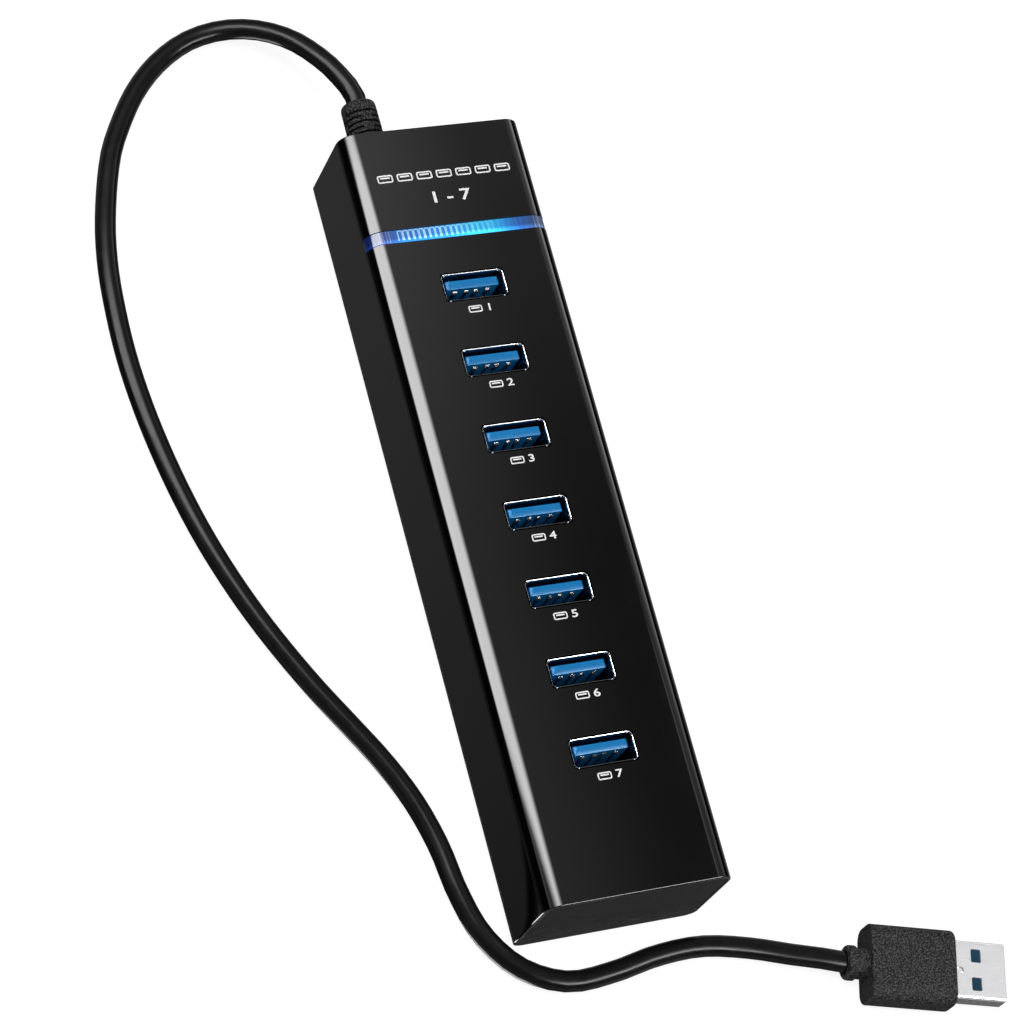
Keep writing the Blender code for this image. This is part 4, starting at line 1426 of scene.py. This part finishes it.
def make_right_card():
    """A tall panel on the right, brightest at its sharp foot, and dimmer towards the hub's foot end."""
    card = Card("card_right", (1.0, 0.45, 0.70), (1.5, 0.92), (0, 0.45, 0.70))
    height = card.smooth(card.axis("Z"), 0.80, 0.26, 0.7, 3.0)
    along = card.smooth(card.axis("Y"), 0.15, 0.42, 0.3, 1.0)
    card.glow(card.product(height, along))


def make_front_card():
    """A small panel over the foot end, for the rims and the contacts' crowns."""
    card = Card("card_front", (0.25, -0.42, 0.50), (0.7, 0.30), (0, 0, 0.02))
    card.glow(card.smooth(card.axis("Z"), 0.54, 0.46, 4.0, 28.0))


def make_corner_card():
    """A panel below the foot, for the bright line along the foot plate."""
    card = Card("card_corner", (-0.21, -0.29, -0.53), (0.36, 0.36), (0, -0.08, 0))
    card.glow(7.0)


def make_lamp(name, centre, size, power):
    """A soft lamp for diffuse light, which doesn't show in reflections."""
    lamp = bpy.data.lights.new(name, "AREA")
    lamp.shape = "DISK"
    lamp.size = size
    lamp.energy = power
    holder = bpy.data.objects.new(name, lamp)
    holder.location = centre
    holder.rotation_euler = (-Vector(centre)).to_track_quat("-Z", "Y").to_euler()
    hide(holder, "glossy")
    link(holder)


def make_floor():
    """A broad pale floor that reflections don't see."""
    finish = Finish("floor", specular=0.0)
    finish.set("Base Color", (0.30, 0.30, 0.30, 1.0))
    finish.set("Roughness", 0.9)
    finish.set("Emission Color", WHITE)
    finish.set("Emission Strength", 0.88)
    low = (-FLOOR_HALF, -FLOOR_HALF, FLOOR_LOW)
    floor = box("floor", low, (FLOOR_HALF, FLOOR_HALF, FLOOR_TOP), finish.material)
    hide(floor, "glossy", "diffuse")
    floor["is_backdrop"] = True


def make_world():
    """White where the camera sees it. Reflections see a dim room that is lighter low down."""
    world = bpy.data.worlds.new("world")
    world.use_nodes = True
    world.node_tree.nodes.clear()
    bpy.context.scene.world = world
    tree = Shading(world.node_tree, "ShaderNodeTexCoord", "Generated")
    x, y, z = (tree.axis(name) for name in "XYZ")
    below_left = tree.product(
        tree.ranged(z, 0.0, 1.0, -0.45, -0.68),
        tree.ranged(y, 0.054, 0.132, 0.225, 0.40),
    )
    below_right = tree.product(
        tree.ranged(z, 0.0, 0.35, -0.12, -0.60),
        tree.ranged(x, 0.0, 1.0, 0.2, 0.6),
    )
    room = tree.product(
        tree.total(tree.ranged(y, 0.0, 1.0, 0.10, -0.30), tree.ranged(y, 0.0, 1.0, 0.50, 0.75)),
        tree.ranged(z, 0.22, 0.55, 0.02, -0.12),
        tree.ranged(z, 0.0, 1.0, -0.80, -0.55),
        tree.ranged(z, 0.0, 1.0, 0.75, 0.45),
    )
    dim = tree.ranged(z, 0.004, 0.02, 0.0, 1.0)
    strength = tree.total(below_left, below_right, room, dim)
    unseen = tree.add("ShaderNodeBackground", {"Color": WHITE, "Strength": strength}).outputs["Background"]
    seen = tree.add("ShaderNodeBackground", {"Color": WHITE, "Strength": 1.0}).outputs["Background"]
    from_camera = tree.add("ShaderNodeLightPath").outputs["Is Camera Ray"]
    mix = tree.add("ShaderNodeMixShader", {0: from_camera, 1: unseen, 2: seen})
    tree.add("ShaderNodeOutputWorld", {"Surface": mix.outputs["Shader"]})


def make_stage():
    bpy.context.scene.view_settings.view_transform = "Standard"
    make_world()
    make_floor()
    make_overhead_card()
    make_right_card()
    make_front_card()
    make_corner_card()
    make_lamp("lamp_left", (-0.30, 0.18, 1.0), 0.9, 7.5)
    make_lamp("lamp_front", (0.25, -0.35, 0.9), 0.6, 2.6)


def make_lead_and_plug(jacket, blue, gold):
    """The lead, and what rides on its two ends."""
    lead = make_lead(jacket)
    soft = grip_black()
    ends = [make_strain_relief(soft), make_plug_grip(soft), make_plug_shell(plug_metal())]
    ends += make_plug_block(blue, gold)


def main():
    make_camera()
    jacket = lead_black()
    matte = matte_black()
    blue = usb_blue("usb_blue", (0.014, 0.23, 0.56), (0.010, 0.18, 0.45))
    # A darker copy of the blue plastic: painted shade for the plug's block, which lies in its shell's shadow.
    painted_shade_blue = usb_blue("usb_blue_painted_shade", (0.008, 0.050, 0.095), (0.005, 0.032, 0.066))
    gold = contact_gold()
    make_lead_and_plug(jacket, painted_shade_blue, gold)
    make_top_cover(gloss_black())
    make_bottom_cover(matte)
    make_end_cap("cap_foot", "foot_end_cap", -1, matte)
    make_end_cap("cap_head", "head_end_cap", 1, matte)
    make_light_bar(glowing("clear_bar", BAR_GLOW), glowing("bar_ridges", RIDGE_GLOW))
    make_ports(socket_metal(), blue, gold)
    make_marks(print_white())
    make_screws(screw_steel())
    finish_inside(jacket)
    make_stage()


main()
low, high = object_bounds()
